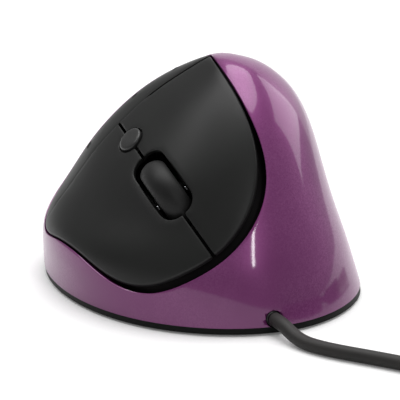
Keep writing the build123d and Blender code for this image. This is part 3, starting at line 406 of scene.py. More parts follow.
@dataclass
class Body:
    """The mouse's outer form, from its levels' sections. Lengths are in millimetres."""

    length: float = 100.0
    width: float = 82.0
    height: float = 63.5
    fullness: float = 0.72
    # Height, then the left, right, front and back extremes, then where front, back, left and right extremes
    # lie on the other axis, all as shares of the overall sizes.
    levels: tuple[tuple[float, ...], ...] = (
        (0.0, -0.490, 0.500, -0.500, 0.500, 0.014, 0.021, 0.064, -0.032),
        (0.06, -0.4955, 0.485, -0.494, 0.498, 0.013, 0.021, 0.064, -0.032),
        (0.12, -0.498, 0.469, -0.486, 0.494, 0.012, 0.021, 0.064, -0.032),
        (0.25, -0.494, 0.437, -0.462, 0.4755, 0.008, 0.021, 0.064, -0.032),
        (0.40, -0.4135, 0.403, -0.423, 0.4415, 0.003, 0.021, 0.053, -0.021),
        (0.56, -0.3225, 0.380, -0.372, 0.394, 0.0, 0.026, 0.0425, -0.0105),
        (0.72, -0.213, 0.356, -0.3085, 0.3165, 0.0065, 0.036, 0.032, -0.011),
        (0.85, -0.109, 0.3095, -0.233, 0.214, 0.031, 0.052, 0.011, -0.011),
        (0.93, -0.027, 0.242, -0.170, 0.122, 0.052, 0.068, -0.011, -0.016),
        (0.975, 0.0195, 0.174, -0.121, 0.052, 0.0675, 0.078, -0.0255, -0.0255),
        (0.993, 0.044, 0.125, -0.079, 0.017, 0.0805, 0.083, -0.032, -0.032),
        (0.999, 0.066, 0.102, -0.050, -0.014, 0.084, 0.084, -0.032, -0.032),
    )
    around: int = 420
    upward: int = 260

    def __post_init__(self) -> None:
        """Fits the levels' lines, the rise through them, and a fine skin that rays start on."""
        self.lines = [ClosedLine(self.section(row)) for row in self.levels]
        self.level_heights = np.array([row[0] * self.height for row in self.levels])
        trial = self.sections(np.linspace(0, 1, 64, endpoint=False))
        gaps = np.linalg.norm(np.diff(trial, axis=1), axis=2).mean(0)
        self.knots = np.concatenate([[0], np.cumsum(gaps)]) / gaps.sum()
        self.solver = self.rise_solver()
        shares = np.arange(self.around) / self.around
        rises = np.linspace(0, 1, self.upward)
        grid = np.array([self.at(shares, np.full(self.around, rise)) for rise in rises])
        faces = []
        for row in range(self.upward - 1):
            low, high = row * self.around, (row + 1) * self.around
            for column in range(self.around):
                beside = (column + 1) % self.around
                faces.append((low + column, low + beside, high + beside, high + column))
        faces.append(tuple(range((self.upward - 1) * self.around, self.upward * self.around)))
        self.skin = BVHTree.FromPolygons([tuple(point) for point in grid.reshape(-1, 3)], faces)
        self.top_face = len(faces) - 1

    def section(self, row: tuple[float, ...]) -> list[tuple[float, float]]:
        """Gives the eight points of one level.

        Args:
            row: The level's shares.

        Returns:
            The points round the level, from the tail.
        """
        _, left, right, front, back, nose, tail, left_middle, right_middle = row
        low_x, high_x = left * self.width, right * self.width
        low_y, high_y = front * self.length, back * self.length
        nose_x, tail_x = nose * self.width, tail * self.width
        left_y, right_y = left_middle * self.length, right_middle * self.length

        def between(x: float, y: float, x0: float, y0: float) -> tuple[float, float]:
            """Draws a corner of the level's box in by the fullness."""
            return x0 + (x - x0) * self.fullness, y0 + (y - y0) * self.fullness

        return [
            (tail_x, high_y),
            between(low_x, high_y, tail_x, left_y),
            (low_x, left_y),
            between(low_x, low_y, nose_x, left_y),
            (nose_x, low_y),
            between(high_x, low_y, nose_x, right_y),
            (high_x, right_y),
            between(high_x, high_y, tail_x, right_y),
        ]

    def sections(self, shares: np.ndarray) -> np.ndarray:
        """Gives every level's points at some places round the form.

        Args:
            shares: Places round the form, 0 to 1.

        Returns:
            An array of places by levels by coordinates.
        """
        found = np.zeros((len(shares), len(self.lines), 3))
        for level, line in enumerate(self.lines):
            found[:, level, :2] = line.at(shares)
            found[:, level, 2] = self.level_heights[level]
        return found

    def rise_solver(self) -> np.ndarray:
        """Gives the matrix that turns levels' points into the rising spline's bends.

        Returns:
            A square matrix over the levels.
        """
        steps = np.diff(self.knots)
        count = len(self.knots)
        left, right = np.zeros((count, count)), np.zeros((count, count))
        for place in range(1, count - 1):
            low, high = steps[place - 1], steps[place]
            left[place, place - 1 : place + 2] = low, 2 * (low + high), high
            right[place, place - 1 : place + 2] = 6 / low, -6 / low - 6 / high, 6 / high
        left[0, :3] = steps[1], -steps[0] - steps[1], steps[0]
        left[-1, -3:] = steps[-1], -steps[-1] - steps[-2], steps[-2]
        return np.linalg.solve(left, right)

    def at(self, shares: np.ndarray, rises: np.ndarray) -> np.ndarray:
        """Gives points on the form.

        Args:
            shares: Places round the form, 0 to 1.
            rises: Places up the form, 0 at the floor to 1 at the top.

        Returns:
            One point for each pair.
        """
        levels = self.sections(shares)
        bends = np.einsum("ij,njk->nik", self.solver, levels)
        place = np.clip(np.searchsorted(self.knots, rises, "right") - 1, 0, len(self.knots) - 2)
        rows = np.arange(len(shares))
        step = (self.knots[place + 1] - self.knots[place])[:, None]
        low = (self.knots[place + 1] - rises)[:, None] / step
        high = 1 - low
        curve = (low**3 - low) * bends[rows, place] + (high**3 - high) * bends[rows, place + 1]
        return low * levels[rows, place] + high * levels[rows, place + 1] + curve * step * step / 6

    def rise_at(self, height: float) -> float:
        """Gives the place up the form that lies at a height."""
        rises = np.linspace(0, 1, 2001)
        heights = self.at(np.zeros(len(rises)), rises)[:, 2]
        return float(np.interp(height, heights, rises))

    def snap(self, starts: np.ndarray, ways: np.ndarray) -> tuple[np.ndarray, np.ndarray]:
        """Finds where rays meet the form.

        Args:
            starts: The rays' starts.
            ways: Their directions.

        Returns:
            The points met and the outward normals there.
        """
        ways = ways / np.linalg.norm(ways, axis=1)[:, None]
        points, shares, rises, flat = [], [], [], []
        for start, way in zip(starts, ways):
            spot, _, face, _ = self.skin.ray_cast(Vector(start), Vector(way))
            if spot is None:
                spot, _, face, _ = self.skin.find_nearest(Vector(start))
            points.append(tuple(spot))
            flat.append(face == self.top_face)
            shares.append((face % self.around + 0.5) / self.around)
            rises.append((face // self.around + 0.5) / (self.upward - 1))
        points, flat = np.array(points), np.array(flat)
        shares, rises = np.array(shares), np.clip(np.array(rises), 0, 1)
        reach = np.einsum("ij,ij->i", points - starts, ways)
        small = 1e-5
        for _ in range(5):
            here = self.at(shares, rises)
            round_way = (self.at(shares + small, rises) - here) / small
            up_way = (self.at(shares, rises + small) - here) / small
            miss = starts + reach[:, None] * ways - here
            system = np.stack([round_way, up_way, -ways], axis=2)
            system[flat] = np.eye(3)
            step = np.linalg.solve(system, miss[:, :, None])[:, :, 0]
            shares = shares + np.clip(step[:, 0], -0.02, 0.02)
            rises = np.clip(rises + np.clip(step[:, 1], -0.02, 0.02), 0, 1)
            reach = reach + np.clip(step[:, 2], -2.0, 2.0)
        exact = self.at(shares, rises)
        off = np.linalg.norm(exact - points, axis=1) > 0.5
        exact[flat | off] = points[flat | off]
        normals = np.cross(round_way, up_way)
        normals = normals / np.maximum(np.linalg.norm(normals, axis=1), 1e-12)[:, None]
        outward = np.einsum("ij,ij->i", normals, exact - np.array((0.0, 0.0, self.height / 3))) < 0
        normals[outward] *= -1
        normals[flat] = (0.0, 0.0, 1.0)
        return exact, normals


@dataclass
class FingerPlane:
    """The finger panel's plane: along the slit to the front, across it upwards, and out of the panel."""

    body: Body
    fall: float = 24.4
    roll: float = 38.0
    centre_shares: tuple[float, float, float] = (-0.275, -0.215, 0.545)

    def __post_init__(self) -> None:
        """Works out the plane's three directions."""
        fall, roll = math.radians(self.fall), math.radians(self.roll)
        self.along = np.array((0, -math.cos(fall), -math.sin(fall)))
        rise = np.array((0, -math.sin(fall), math.cos(fall)))
        self.out = rise * math.cos(roll) - np.array((1, 0, 0)) * math.sin(roll)
        self.across = np.cross(self.out, self.along)
        sizes = (self.body.width, self.body.length, self.body.height)
        self.centre = np.array([share * size for share, size in zip(self.centre_shares, sizes)])
        self.axes = np.array((self.along, self.across, self.out))

    def place(self, spots: np.ndarray) -> np.ndarray:
        """Turns panel coordinates into the mouse's."""
        return self.centre + np.asarray(spots) @ self.axes

    def local(self, points: np.ndarray) -> np.ndarray:
        """Turns the mouse's coordinates into the panel's."""
        return (np.asarray(points) - self.centre) @ self.axes.T

    def lift(self, flat: np.ndarray) -> np.ndarray:
        """Gives how far the form stands out of the plane over some spots.

        Args:
            flat: Rows of along and across.

        Returns:
            One height for each row.
        """
        starts = self.place(np.column_stack([flat, np.full(len(flat), self.body.height)]))
        points, _ = self.body.snap(starts, np.tile(-self.out, (len(flat), 1)))
        return self.local(points)[:, 2]


# Making pieces


class Ends(Enum):
    """How a stack of rings is finished."""

    JOINED = "last ring joined to the first"
    CAPPED = "both end rings filled"
    OPEN = "both end rings left open"


def edit(piece: bpy.types.Object) -> bmesh.types.BMesh:
    """Opens a piece alone in edit mode with nothing selected in it."""
    if bpy.context.mode != "OBJECT":
        bpy.ops.object.mode_set(mode="OBJECT")
    bpy.ops.object.select_all(action="DESELECT")
    bpy.context.view_layer.objects.active = piece
    piece.select_set(True)
    bpy.ops.object.mode_set(mode="EDIT")
    bpy.ops.mesh.select_mode(type="VERT")
    bpy.ops.mesh.select_all(action="DESELECT")
    return bmesh.from_edit_mesh(piece.data)


def close_edit(smooth: float = 35.0) -> bpy.types.Object:
    """Turns all faces outwards, leaves edit mode and smooths all but sharp edges.

    Args:
        smooth: The angle in degrees from which an edge stays sharp.

    Returns:
        The piece.
    """
    bpy.ops.mesh.select_all(action="SELECT")
    bpy.ops.mesh.remove_doubles(threshold=1e-7)
    bpy.ops.mesh.normals_make_consistent(inside=False)
    bpy.ops.object.mode_set(mode="OBJECT")
    bpy.ops.object.shade_smooth_by_angle(angle=math.radians(smooth))
    return bpy.context.active_object


def ring_stack(name: str, rings: Sequence[np.ndarray], ends: Ends, smooth: float = 35.0) -> bpy.types.Object:
    """Makes a piece from a circle whose edge is extruded from ring to ring.

    Args:
        name: The piece's name.
        rings: The rings' points in millimetres, all as many and in the same order.
        ends: How the first and last rings are finished.
        smooth: The angle in degrees from which an edge stays sharp.

    Returns:
        The piece, in object mode.
    """
    count = len(rings[0])
    if bpy.context.mode != "OBJECT":
        bpy.ops.object.mode_set(mode="OBJECT")
    bpy.ops.object.select_all(action="DESELECT")
    bpy.ops.mesh.primitive_circle_add(vertices=count, radius=MM)
    piece = bpy.context.active_object
    piece.name = piece.data.name = name
    grown = edit(piece)
    bpy.ops.mesh.select_all(action="SELECT")
    order = list(range(count))
    for number, points in enumerate(rings):
        if number:
            bpy.ops.mesh.extrude_region_move()
            grown = bmesh.from_edit_mesh(piece.data)
        grown.verts.ensure_lookup_table()
        if number:
            fresh = []
            for old in order:
                vertex = grown.verts[old]
                beside = [edge.other_vert(vertex) for edge in vertex.link_edges]
                fresh.append(next(other.index for other in beside if other.select))
            order = fresh
        for index, point in zip(order, points):
            grown.verts[index].co = Vector(point) * MM
    first = grown.verts[:count]
    last = [grown.verts[index] for index in order]
    if ends is Ends.JOINED:
        for here in range(count):
            there = (here + 1) % count
            grown.faces.new((last[here], last[there], first[there], first[here]))
    elif ends is Ends.CAPPED:
        grown.faces.new(first)
        grown.faces.new(last)
    bmesh.update_edit_mesh(piece.data)
    return close_edit(smooth)


def lathe(
    name: str, profile: Sequence[tuple[float, float]], centre: np.ndarray, axis: np.ndarray, ends: Ends,
    steps: int = 64, smooth: float = 35.0,
) -> bpy.types.Object:
    """Makes a turned piece.

    Args:
        name: The piece's name.
        profile: Rows of radius and place along the axis, in millimetres.
        centre: The axis's origin.
        axis: Its direction.
        ends: How the first and last rings are finished.
        steps: How many points go round.
        smooth: The angle in degrees from which an edge stays sharp.

    Returns:
        The piece.
    """
    axis = axis / np.linalg.norm(axis)
    side = np.cross(axis, (0.3, 0.2, 0.9))
    side = side / np.linalg.norm(side)
    other = np.cross(axis, side)
    turns = np.arange(steps) * 2 * math.pi / steps
    circle = np.outer(np.cos(turns), side) + np.outer(np.sin(turns), other)
    return ring_stack(name, [centre + circle * r + axis * along for r, along in profile], ends, smooth)


def join(pieces: Sequence[bpy.types.Object]) -> bpy.types.Object:
    """Joins pieces into the first of them."""
    bpy.ops.object.select_all(action="DESELECT")
    for piece in pieces:
        piece.select_set(True)
    bpy.context.view_layer.objects.active = pieces[0]
    bpy.ops.object.join()
    return pieces[0]


def apply_modifier(piece: bpy.types.Object, kind: str, **settings: object) -> None:
    """Adds a modifier to a piece and applies it.

    Args:
        piece: The piece.
        kind: The modifier's Blender type.
        **settings: Its properties.
    """
    bpy.ops.object.select_all(action="DESELECT")
    bpy.context.view_layer.objects.active = piece
    piece.select_set(True)
    modifier = piece.modifiers.new(kind.lower(), kind)
    for key, value in settings.items():
        setattr(modifier, key, value)
    bpy.ops.object.modifier_apply(modifier=modifier.name)


def enter(piece: bpy.types.Object, body: str, finish: Finish | None, nodes: Sequence[str]) -> None:
    """Puts a finished piece into the frame.

    Args:
        piece: The piece, in place.
        body: The body it moves with.
        finish: Its finish, or none where it wears its own already.
        nodes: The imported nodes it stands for.
    """
    if finish:
        piece.data.materials.clear()
        piece.data.materials.append(finish.material())
    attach(piece, body)
    if nodes:
        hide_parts(*nodes)
    LOG.info("%s rides on %s and stands for %s", piece.name, body, ", ".join(nodes) or "nothing")


def ring_normals(flat: np.ndarray) -> np.ndarray:
    """Gives the inward direction at each point of a flat closed outline."""
    run = np.roll(flat, -1, axis=0) - np.roll(flat, 1, axis=0)
    run = run / np.maximum(np.linalg.norm(run, axis=1), 1e-9)[:, None]
    ahead = np.roll(flat, -1, axis=0)
    area = 0.5 * np.sum(flat[:, 0] * ahead[:, 1] - ahead[:, 0] * flat[:, 1])
    turn = 1.0 if area > 0 else -1.0
    return np.column_stack([-run[:, 1], run[:, 0]]) * turn


# Camera, light and floor


@dataclass(frozen=True)
class Softbox:
    """One rectangular lamp. Lengths are in metres, power in watts."""

    name: str
    place: tuple[float, float, float]
    target: tuple[float, float, float]
    size: tuple[float, float]
    power: float


@dataclass
class Studio:
    """The camera, the lamps and the floor."""

    camera_place: tuple[float, float, float] = (-215.13, -373.22, 154.03)
    camera_target: tuple[float, float, float] = (-1.49, -3.19, 23.40)
    lens: float = 145.5
    sensor: float = 36.0
    clip: tuple[float, float] = (0.01, 20.0)
    floor_half: float = 4.0
    floor_glow: float = 0.1
    floor_mottle: float = 40.0
    ceiling_way: tuple[float, float, float] = (0.12, 0.18, 0.96)
    ceiling_power: float = 2.1
    ceiling_spread: float = 50.0
    room_glow: float = 0.3
    softboxes: tuple[Softbox, ...] = (
        Softbox("front_strip", (-0.05, -1.0, 0.55), (0.0, 0.0, 0.03), (0.045, 0.3), 1.1),
        Softbox("upper_softbox", (-0.62, 0.42, 1.06), (0.0, 0.0, 0.04), (0.5, 0.5), 2.8),
        Softbox("right_softbox", (1.2, 0.0, 0.7), (0.0, 0.0, 0.03), (0.75, 0.75), 4.3),
        Softbox("back_panel", (1.1, 1.1, 0.55), (0.0, 0.0, 0.1), (1.8, 1.3), 4.6),
    )

    def add_camera(self) -> None:
        """Places the camera as the photograph's."""
        data = bpy.data.cameras.new("camera")
        data.lens = self.lens
        data.sensor_width = self.sensor
        data.clip_start, data.clip_end = self.clip
        camera = bpy.data.objects.new("camera", data)
        bpy.context.scene.collection.objects.link(camera)
        camera.location = Vector(self.camera_place) * MM
        way = Vector(self.camera_target) - Vector(self.camera_place)
        camera.rotation_euler = way.to_track_quat("-Z", "Y").to_euler()
        bpy.context.scene.camera = camera

    def add_lamp(self, box: Softbox) -> None:
        """Adds one softbox.

        Args:
            box: The lamp's name, place, target, size and power.
        """
        data = bpy.data.lights.new(box.name, "AREA")
        data.shape = "RECTANGLE"
        data.size, data.size_y = box.size
        data.energy = box.power
        lamp = bpy.data.objects.new(box.name, data)
        bpy.context.scene.collection.objects.link(lamp)
        lamp.location = box.place
        lamp.rotation_euler = (Vector(box.target) - Vector(box.place)).to_track_quat("-Z", "Y").to_euler()

    def add_lights(self) -> None:
        """Lights the object softly from above, with softboxes round it and an even glow of the room."""
        data = bpy.data.lights.new("ceiling_diffuser", "SUN")
        data.energy = self.ceiling_power
        data.angle = math.radians(self.ceiling_spread)
        ceiling = bpy.data.objects.new("ceiling_diffuser", data)
        bpy.context.scene.collection.objects.link(ceiling)
        ceiling.rotation_euler = (-Vector(self.ceiling_way)).to_track_quat("-Z", "Y").to_euler()
        for box in self.softboxes:
            self.add_lamp(box)
        world = bpy.data.worlds.new("studio")
        bpy.context.scene.world = world
        world.use_nodes = True
        tree = world.node_tree
        tree.nodes.clear()
        glow = add_node(
            tree, "ShaderNodeBackground", {"Color": to_linear("#ffffff"), "Strength": self.room_glow}
        )
        add_node(tree, "ShaderNodeOutputWorld", {}, {"Surface": glow.outputs[0]})

    def seen(self, tree: bpy.types.NodeTree) -> bpy.types.NodeSocket:
        """Adds nodes that give one on rays from the camera, mirrors and glass, and zero on others.

        Args:
            tree: The floor material's node tree.

        Returns:
            The socket that holds the one or zero.
        """
        path = add_node(tree, "ShaderNodeLightPath", {}).outputs
        first = add_node(
            tree, "ShaderNodeMath", {"operation": "MAXIMUM"}, {0: path["Is Camera Ray"], 1: path["Is Glossy Ray"]}
        )
        both = add_node(
            tree, "ShaderNodeMath", {"operation": "MAXIMUM"}, {0: first.outputs[0], 1: path["Is Transmission Ray"]}
        )
        return both.outputs[0]

    def add_floor(self) -> None:
        """Lays the pale floor, which keeps the object's shadow."""
        bpy.ops.object.select_all(action="DESELECT")
        bpy.ops.mesh.primitive_grid_add(x_subdivisions=4, y_subdivisions=4, size=2 * self.floor_half)
        floor = bpy.context.active_object
        floor.name = "floor"
        # Matt white laminate: evenly pale, with a mottle too faint to see.
        made = bpy.data.materials.new("matt_white_laminate")
        made.use_nodes = True
        tree = made.node_tree
        tree.nodes.clear()
        place = add_node(tree, "ShaderNodeTexCoord", {}).outputs["Object"]
        mottle = add_node(tree, "ShaderNodeTexNoise", {"Scale": self.floor_mottle}, {"Vector": place}).outputs["Fac"]
        colour = add_node(
            tree,
            "ShaderNodeMix",
            {"data_type": "RGBA", 6: to_linear("#f4f4f4"), 7: to_linear("#f8f8f8")},
            {0: mottle},
        ).outputs[2]
        pale = add_node(tree, "ShaderNodeBsdfDiffuse", {}, {"Color": colour})
        glow = add_node(
            tree, "ShaderNodeEmission", {"Color": to_linear("#ffffff"), "Strength": self.floor_glow}
        )
        shown = add_node(tree, "ShaderNodeAddShader", {}, {0: pale.outputs[0], 1: glow.outputs[0]})
        dull = add_node(tree, "ShaderNodeBsdfDiffuse", {"Color": to_linear("#6c6c6c")})
        mix = add_node(
            tree, "ShaderNodeMixShader", {}, {0: self.seen(tree), 1: dull.outputs[0], 2: shown.outputs[0]}
        )
        add_node(tree, "ShaderNodeOutputMaterial", {}, {"Surface": mix.outputs[0]})
        floor.data.materials.append(made)


# Cord and plug


@dataclass
class CordSet:
    """The cord with its put-away coil, the plug's moulded grip and the relief in the arch. Lengths are in
    millimetres.
    """

    diameter: float = 3.7
    # The route: out of the front wall, down to the floor, and out of the picture to the coil.
    route: tuple[tuple[float, float, float], ...] = (
        (-5.7, -48.6, 4.2),
        (-5.7, -52.5, 4.2),
        (-5.3, -56.4, 2.6),
        (-4.7, -60.9, 1.85),
        (-2.8, -65.9, 1.85),
        (0.2, -71.0, 1.85),
        (3.9, -76.4, 1.85),
        (8.4, -83.4, 1.85),
        (10.8, -87.9, 1.95),
        (12.4, -92.7, 2.4),
        (13.0, -97.6, 2.85),
        (13.0, -101.3, 2.85),
    )
    end_route: tuple[tuple[float, float, float], ...] = (
        (0.0, 3.0, 0.0),
        (0.0, 7.0, 0.0),
        (-1.5, 15.0, -2.2),
        (-2.0, 22.0, -3.0),
        (-2.0, 28.5, -3.0),
    )
    coil_start: tuple[float, float, float] = (13.0, -105.0, 2.85)
    coil_radius: float = 30.8
    coil_pitch: float = 4.2
    half_turns: int = 10
    coil_end: tuple[float, float, float] = (74.6, -101.3, 7.05)
    points_per_half: int = 6
    length: float = 1467.0
    grip: tuple[float, float, float] = (15.6, 22.0, 8.0)
    grip_round: float = 2.4
    collar_length: float = 9.0

    def half_turn(self, start: np.ndarray, radius: float, side: int, rise: float) -> list[np.ndarray]:
        """Gives the control points of half a turn.

        Args:
            start: Where it starts, on the coil's middle line.
            radius: Its radius.
            side: 1 where it bulges to the front, -1 to the back.
            rise: How far it climbs.

        Returns:
            The points, pushed out so that the spline keeps the radius.
        """
        step = math.pi / self.points_per_half
        pushed = radius / math.cos(step / 2)
        points = []
        for number in range(self.points_per_half):
            turn = (number + 0.5) * step
            share = (1 - math.cos(turn)) / 2
            x = side * (radius - pushed * math.cos(turn))
            points.append(start + np.array((x, -side * pushed * math.sin(turn), rise * share)))
        return points

    def coil(self) -> list[np.ndarray]:
        """Gives the coil's control points: in on the lower layer, a climb, and out on the upper."""
        radii = [self.coil_radius - self.coil_pitch / 2 * number for number in range(self.half_turns)]
        middle = radii[-1] - self.coil_pitch / 2
        plan = [(radius, 0.0) for radius in radii] + [(middle, self.coil_pitch)]
        plan += [(radius, 0.0) for radius in reversed(radii)]
        start = np.array(self.coil_start)
        side = 1
        points = []
        for radius, rise in plan:
            points += self.half_turn(start, radius, side, rise)
            start = start + np.array((2 * side * radius, 0.0, rise))
            side = -side
        return points

    def build(self) -> None:
        points = [np.array(point) for point in self.route] + self.coil()
        points += [np.array(self.coil_end) + np.array(point) for point in self.end_route]
        data = bpy.data.curves.new("cord_run", "CURVE")
        data.dimensions = "3D"
        data.resolution_u = 10
        data.bevel_depth = self.diameter / 2 * MM
        data.bevel_resolution = 5
        data.use_fill_caps = True
        spline = data.splines.new("NURBS")
        spline.points.add(len(points) - 1)
        for spot, point in zip(spline.points, points):
            spot.co = (*(point * MM), 1.0)
        spline.order_u = 3
        spline.use_endpoint_u = True
        cord = bpy.data.objects.new("cord_run", data)
        bpy.context.scene.collection.objects.link(cord)
        data.materials.append(CORD_PVC.material())
        enter(cord, "housing", None, ("cord", "cord_coil", "cord_end"))
        grip = self.plug_grip()
        enter(grip, "housing", MOULDED_PVC, ("plug_grip",))
        enter(self.relief(), "housing", MOULDED_PVC, ("strain_relief",))

    def plug_grip(self) -> bpy.types.Object:
        """Makes the moulded grip: waisted, ribbed on both flats, with a tapered collar on the cord.

        Returns:
            The piece.
        """
        width, length, height = self.grip
        back = np.array(self.coil_end) + np.array(self.end_route[-1])
        # Place along the grip, then how wide and how high it is there, as shares.
        stations = [(0.0, 0.90, 0.86), (0.7, 0.97, 0.95), (1.8, 1.0, 1.0), (5.0, 1.0, 1.0)]
        for number in range(5):
            low = 5.6 + 2.2 * number
            stations += [(low, 0.975, 0.93), (low + 0.9, 0.975, 0.93), (low + 1.2, 1.0, 1.0), (low + 1.9, 1.0, 1.0)]
        stations += [(19.4, 1.0, 1.0), (21.4, 0.99, 0.98), (22.0, 0.95, 0.93)]
        rings = []
        turns = np.arange(56) * 2 * math.pi / 56
        for along, wide, high in stations:
            half_x, half_z = width / 2 * wide, height / 2 * high
            power = 2 / 5.5
            x = half_x * np.sign(np.cos(turns)) * np.abs(np.cos(turns)) ** power
            z = half_z * np.sign(np.sin(turns)) * np.abs(np.sin(turns)) ** power
            rings.append(back + np.column_stack([x, np.full(56, along * length / 22.0), z]))
        block = ring_stack("plug_overmould", rings, Ends.CAPPED, 40.0)
        radius = self.diameter / 2
        profile = [(radius + 0.15, -self.collar_length), (radius + 0.45, -self.collar_length + 0.3)]
        for number in range(4):
            low = -self.collar_length + 1.0 + 2.0 * number
            thick = radius + 0.5 + 0.17 * number
            profile += [(thick, low), (thick + 0.12, low + 0.9), (thick - 0.3, low + 1.0), (thick - 0.3, low + 1.6)]
        profile += [(radius + 1.3, -0.2), (radius + 1.3, 0.6)]
        collar = lathe("collar", profile, back, np.array((0.0, 1.0, 0.0)), Ends.CAPPED, 40)
        return join([block, collar])

    def relief(self) -> bpy.types.Object:
        """Makes the small relief in the arch: a flange behind the wall and a sleeve that tapers to the cord.

        Returns:
            The piece.
        """
        x, y, z = self.route[0]
        radius = self.diameter / 2
        profile = [
            (radius + 0.05, 0.4),
            (radius + 0.12, 0.5),
            (radius + 0.30, 1.6),
            (radius + 0.30, 4.4),
            (radius + 1.0, 4.5),
            (radius + 1.5, 4.8),
            (radius + 1.5, 5.8),
            (radius + 1.2, 6.0),
        ]
        return lathe(
            "cord_relief", profile, np.array((x, y, z)), np.array((0.0, 1.0, 0.0)), Ends.CAPPED, 48
        )


# Shell


@dataclass
class Shell:
    """The purple housing: one skin from the base to the finger opening, with its inner wall."""

    body: Body
    plane: FingerPlane
    # The opening's outline, seen square to the panel: along the slit as a share of the length, across it as a
    # share of the width.
    edge_shares: tuple[tuple[float, float], ...] = (
        (-0.310, 0.382), (-0.170, 0.372), (-0.040, 0.352), (0.070, 0.311), (0.152, 0.237), (0.206, 0.137),
        (0.233, 0.015), (0.224, -0.107), (0.176, -0.228), (0.097, -0.300), (-0.052, -0.351), (-0.185, -0.3915),
        (-0.295, -0.4135), (-0.372, -0.365), (-0.423, -0.254), (-0.449, -0.101), (-0.452, 0.057),
        (-0.430, 0.216), (-0.386, 0.3305),
    )
    wall: float = 2.0
    bottom: float = 2.3
    edge_round: float = 0.55
    lip_depth: float = 3.2
    columns: int = 256
    rings: int = 60
    eye: tuple[float, float, float] = (-3.0, -2.0, 24.0)
    arch_place: tuple[float, float, float] = (-5.7, -48.6, 4.2)
    arch_radius: float = 2.25

    def opening(self) -> tuple[np.ndarray, np.ndarray]:
        """Gives the opening's outline on the plane and its inward directions."""
        line = ClosedLine([(a * self.body.length, b * self.body.width) for a, b in self.edge_shares])
        flat = line.even(self.columns)
        return flat, ring_normals(flat)

    def rim_ring(self, flat: np.ndarray, out: np.ndarray, shift: float, depth: float) -> np.ndarray:
        """Gives a ring along the opening.

        Args:
            flat: The outline on the plane.
            out: The directions away from the opening.
            shift: How far the ring lies outside the outline.
            depth: How far it lies under the form, square to the plane.

        Returns:
            The ring's points.
        """
        moved = flat + out * shift
        heights = self.plane.lift(moved) - depth
        return self.plane.place(np.column_stack([moved, heights]))

    def build(self) -> bpy.types.Object:
        """Makes the shell.

        Returns:
            The piece.
        """
        flat, inward = self.opening()
        out = -inward
        turn = self.edge_round
        rim = self.rim_ring(flat, out, turn, 0.0)
        eye = np.array(self.eye)
        pole = self.plane.out + np.array((0.0, 0.0, 1.0))
        pole = pole / np.linalg.norm(pole)
        side = np.cross(pole, (0.0, 1.0, 0.0))
        side = side / np.linalg.norm(side)
        other = np.cross(pole, side)

        def angles(points: np.ndarray) -> tuple[np.ndarray, np.ndarray]:
            """Gives the turn about the pole and the tilt from it, as seen from the eye."""
            ways = points - eye
            ways = ways / np.linalg.norm(ways, axis=1)[:, None]
            return np.arctan2(ways @ other, ways @ side), np.arccos(np.clip(ways @ pole, -1, 1))

        rim_turn, rim_tilt = angles(rim)
        shares = np.linspace(0, 1, 4001)
        base = self.body.at(shares, np.full(len(shares), self.body.rise_at(self.bottom)))
        base_turn, base_tilt = angles(base)
        order = np.argsort(base_turn)
        tilt = np.interp(rim_turn, base_turn[order], base_tilt[order], period=2 * math.pi)
        grid = []
        for pass_number in range(2):
            if pass_number == 0:
                places = np.tile(np.linspace(0, 1, 160), (self.columns, 1))
            else:
                runs = np.linalg.norm(np.diff(grid, axis=0), axis=2)
                along = np.vstack([np.zeros(self.columns), np.cumsum(runs, axis=0)])
                steps = np.linspace(0, 1, 160)
                wanted = np.linspace(0, 1, self.rings)
                places = np.array(
                    [np.interp(wanted * along[-1, column], along[:, column], steps) for column in range(self.columns)]
                )
            grid, normals = [], []
            for number in range(places.shape[1]):
                lean = rim_tilt + (tilt - rim_tilt) * places[:, number]
                ways = (
                    np.cos(lean)[:, None] * pole
                    + (np.sin(lean) * np.cos(rim_turn))[:, None] * side
                    + (np.sin(lean) * np.sin(rim_turn))[:, None] * other
                )
                points, outward = self.body.snap(np.tile(eye, (self.columns, 1)), ways)
                grid.append(points)
                normals.append(outward)
            grid = np.array(grid)
        grid[0] = rim
        grid[-1][:, 2] = self.bottom
        rings = [
            self.rim_ring(flat, out, 0.0, self.lip_depth),
            self.rim_ring(flat, out, 0.0, turn),
            self.rim_ring(flat, out, 0.12 * turn, 0.5 * turn),
            self.rim_ring(flat, out, 0.45 * turn, 0.12 * turn),
        ]
        rings += list(grid)
        inner = [grid[number] - self.wall * normals[number] for number in range(len(grid) - 1, 2, -4)]
        foot = inner[0].copy()
        foot[:, 2] = self.bottom
        inner[0] = foot
        rings += inner
        piece = ring_stack("shell_pearl", rings, Ends.JOINED, 38.0)
        x, y, z = self.arch_place
        cutter = lathe(
            "arch_cutter",
            [(self.arch_radius, -6.0), (self.arch_radius, 10.0)],
            np.array((x, y, z)),
            np.array((0.0, 1.0, 0.0)),
            Ends.CAPPED,
            64,
        )
        apply_modifier(piece, "BOOLEAN", operation="DIFFERENCE", object=cutter, solver="EXACT")
        bpy.data.objects.remove(cutter, do_unlink=True)
        return piece


# Finger panel


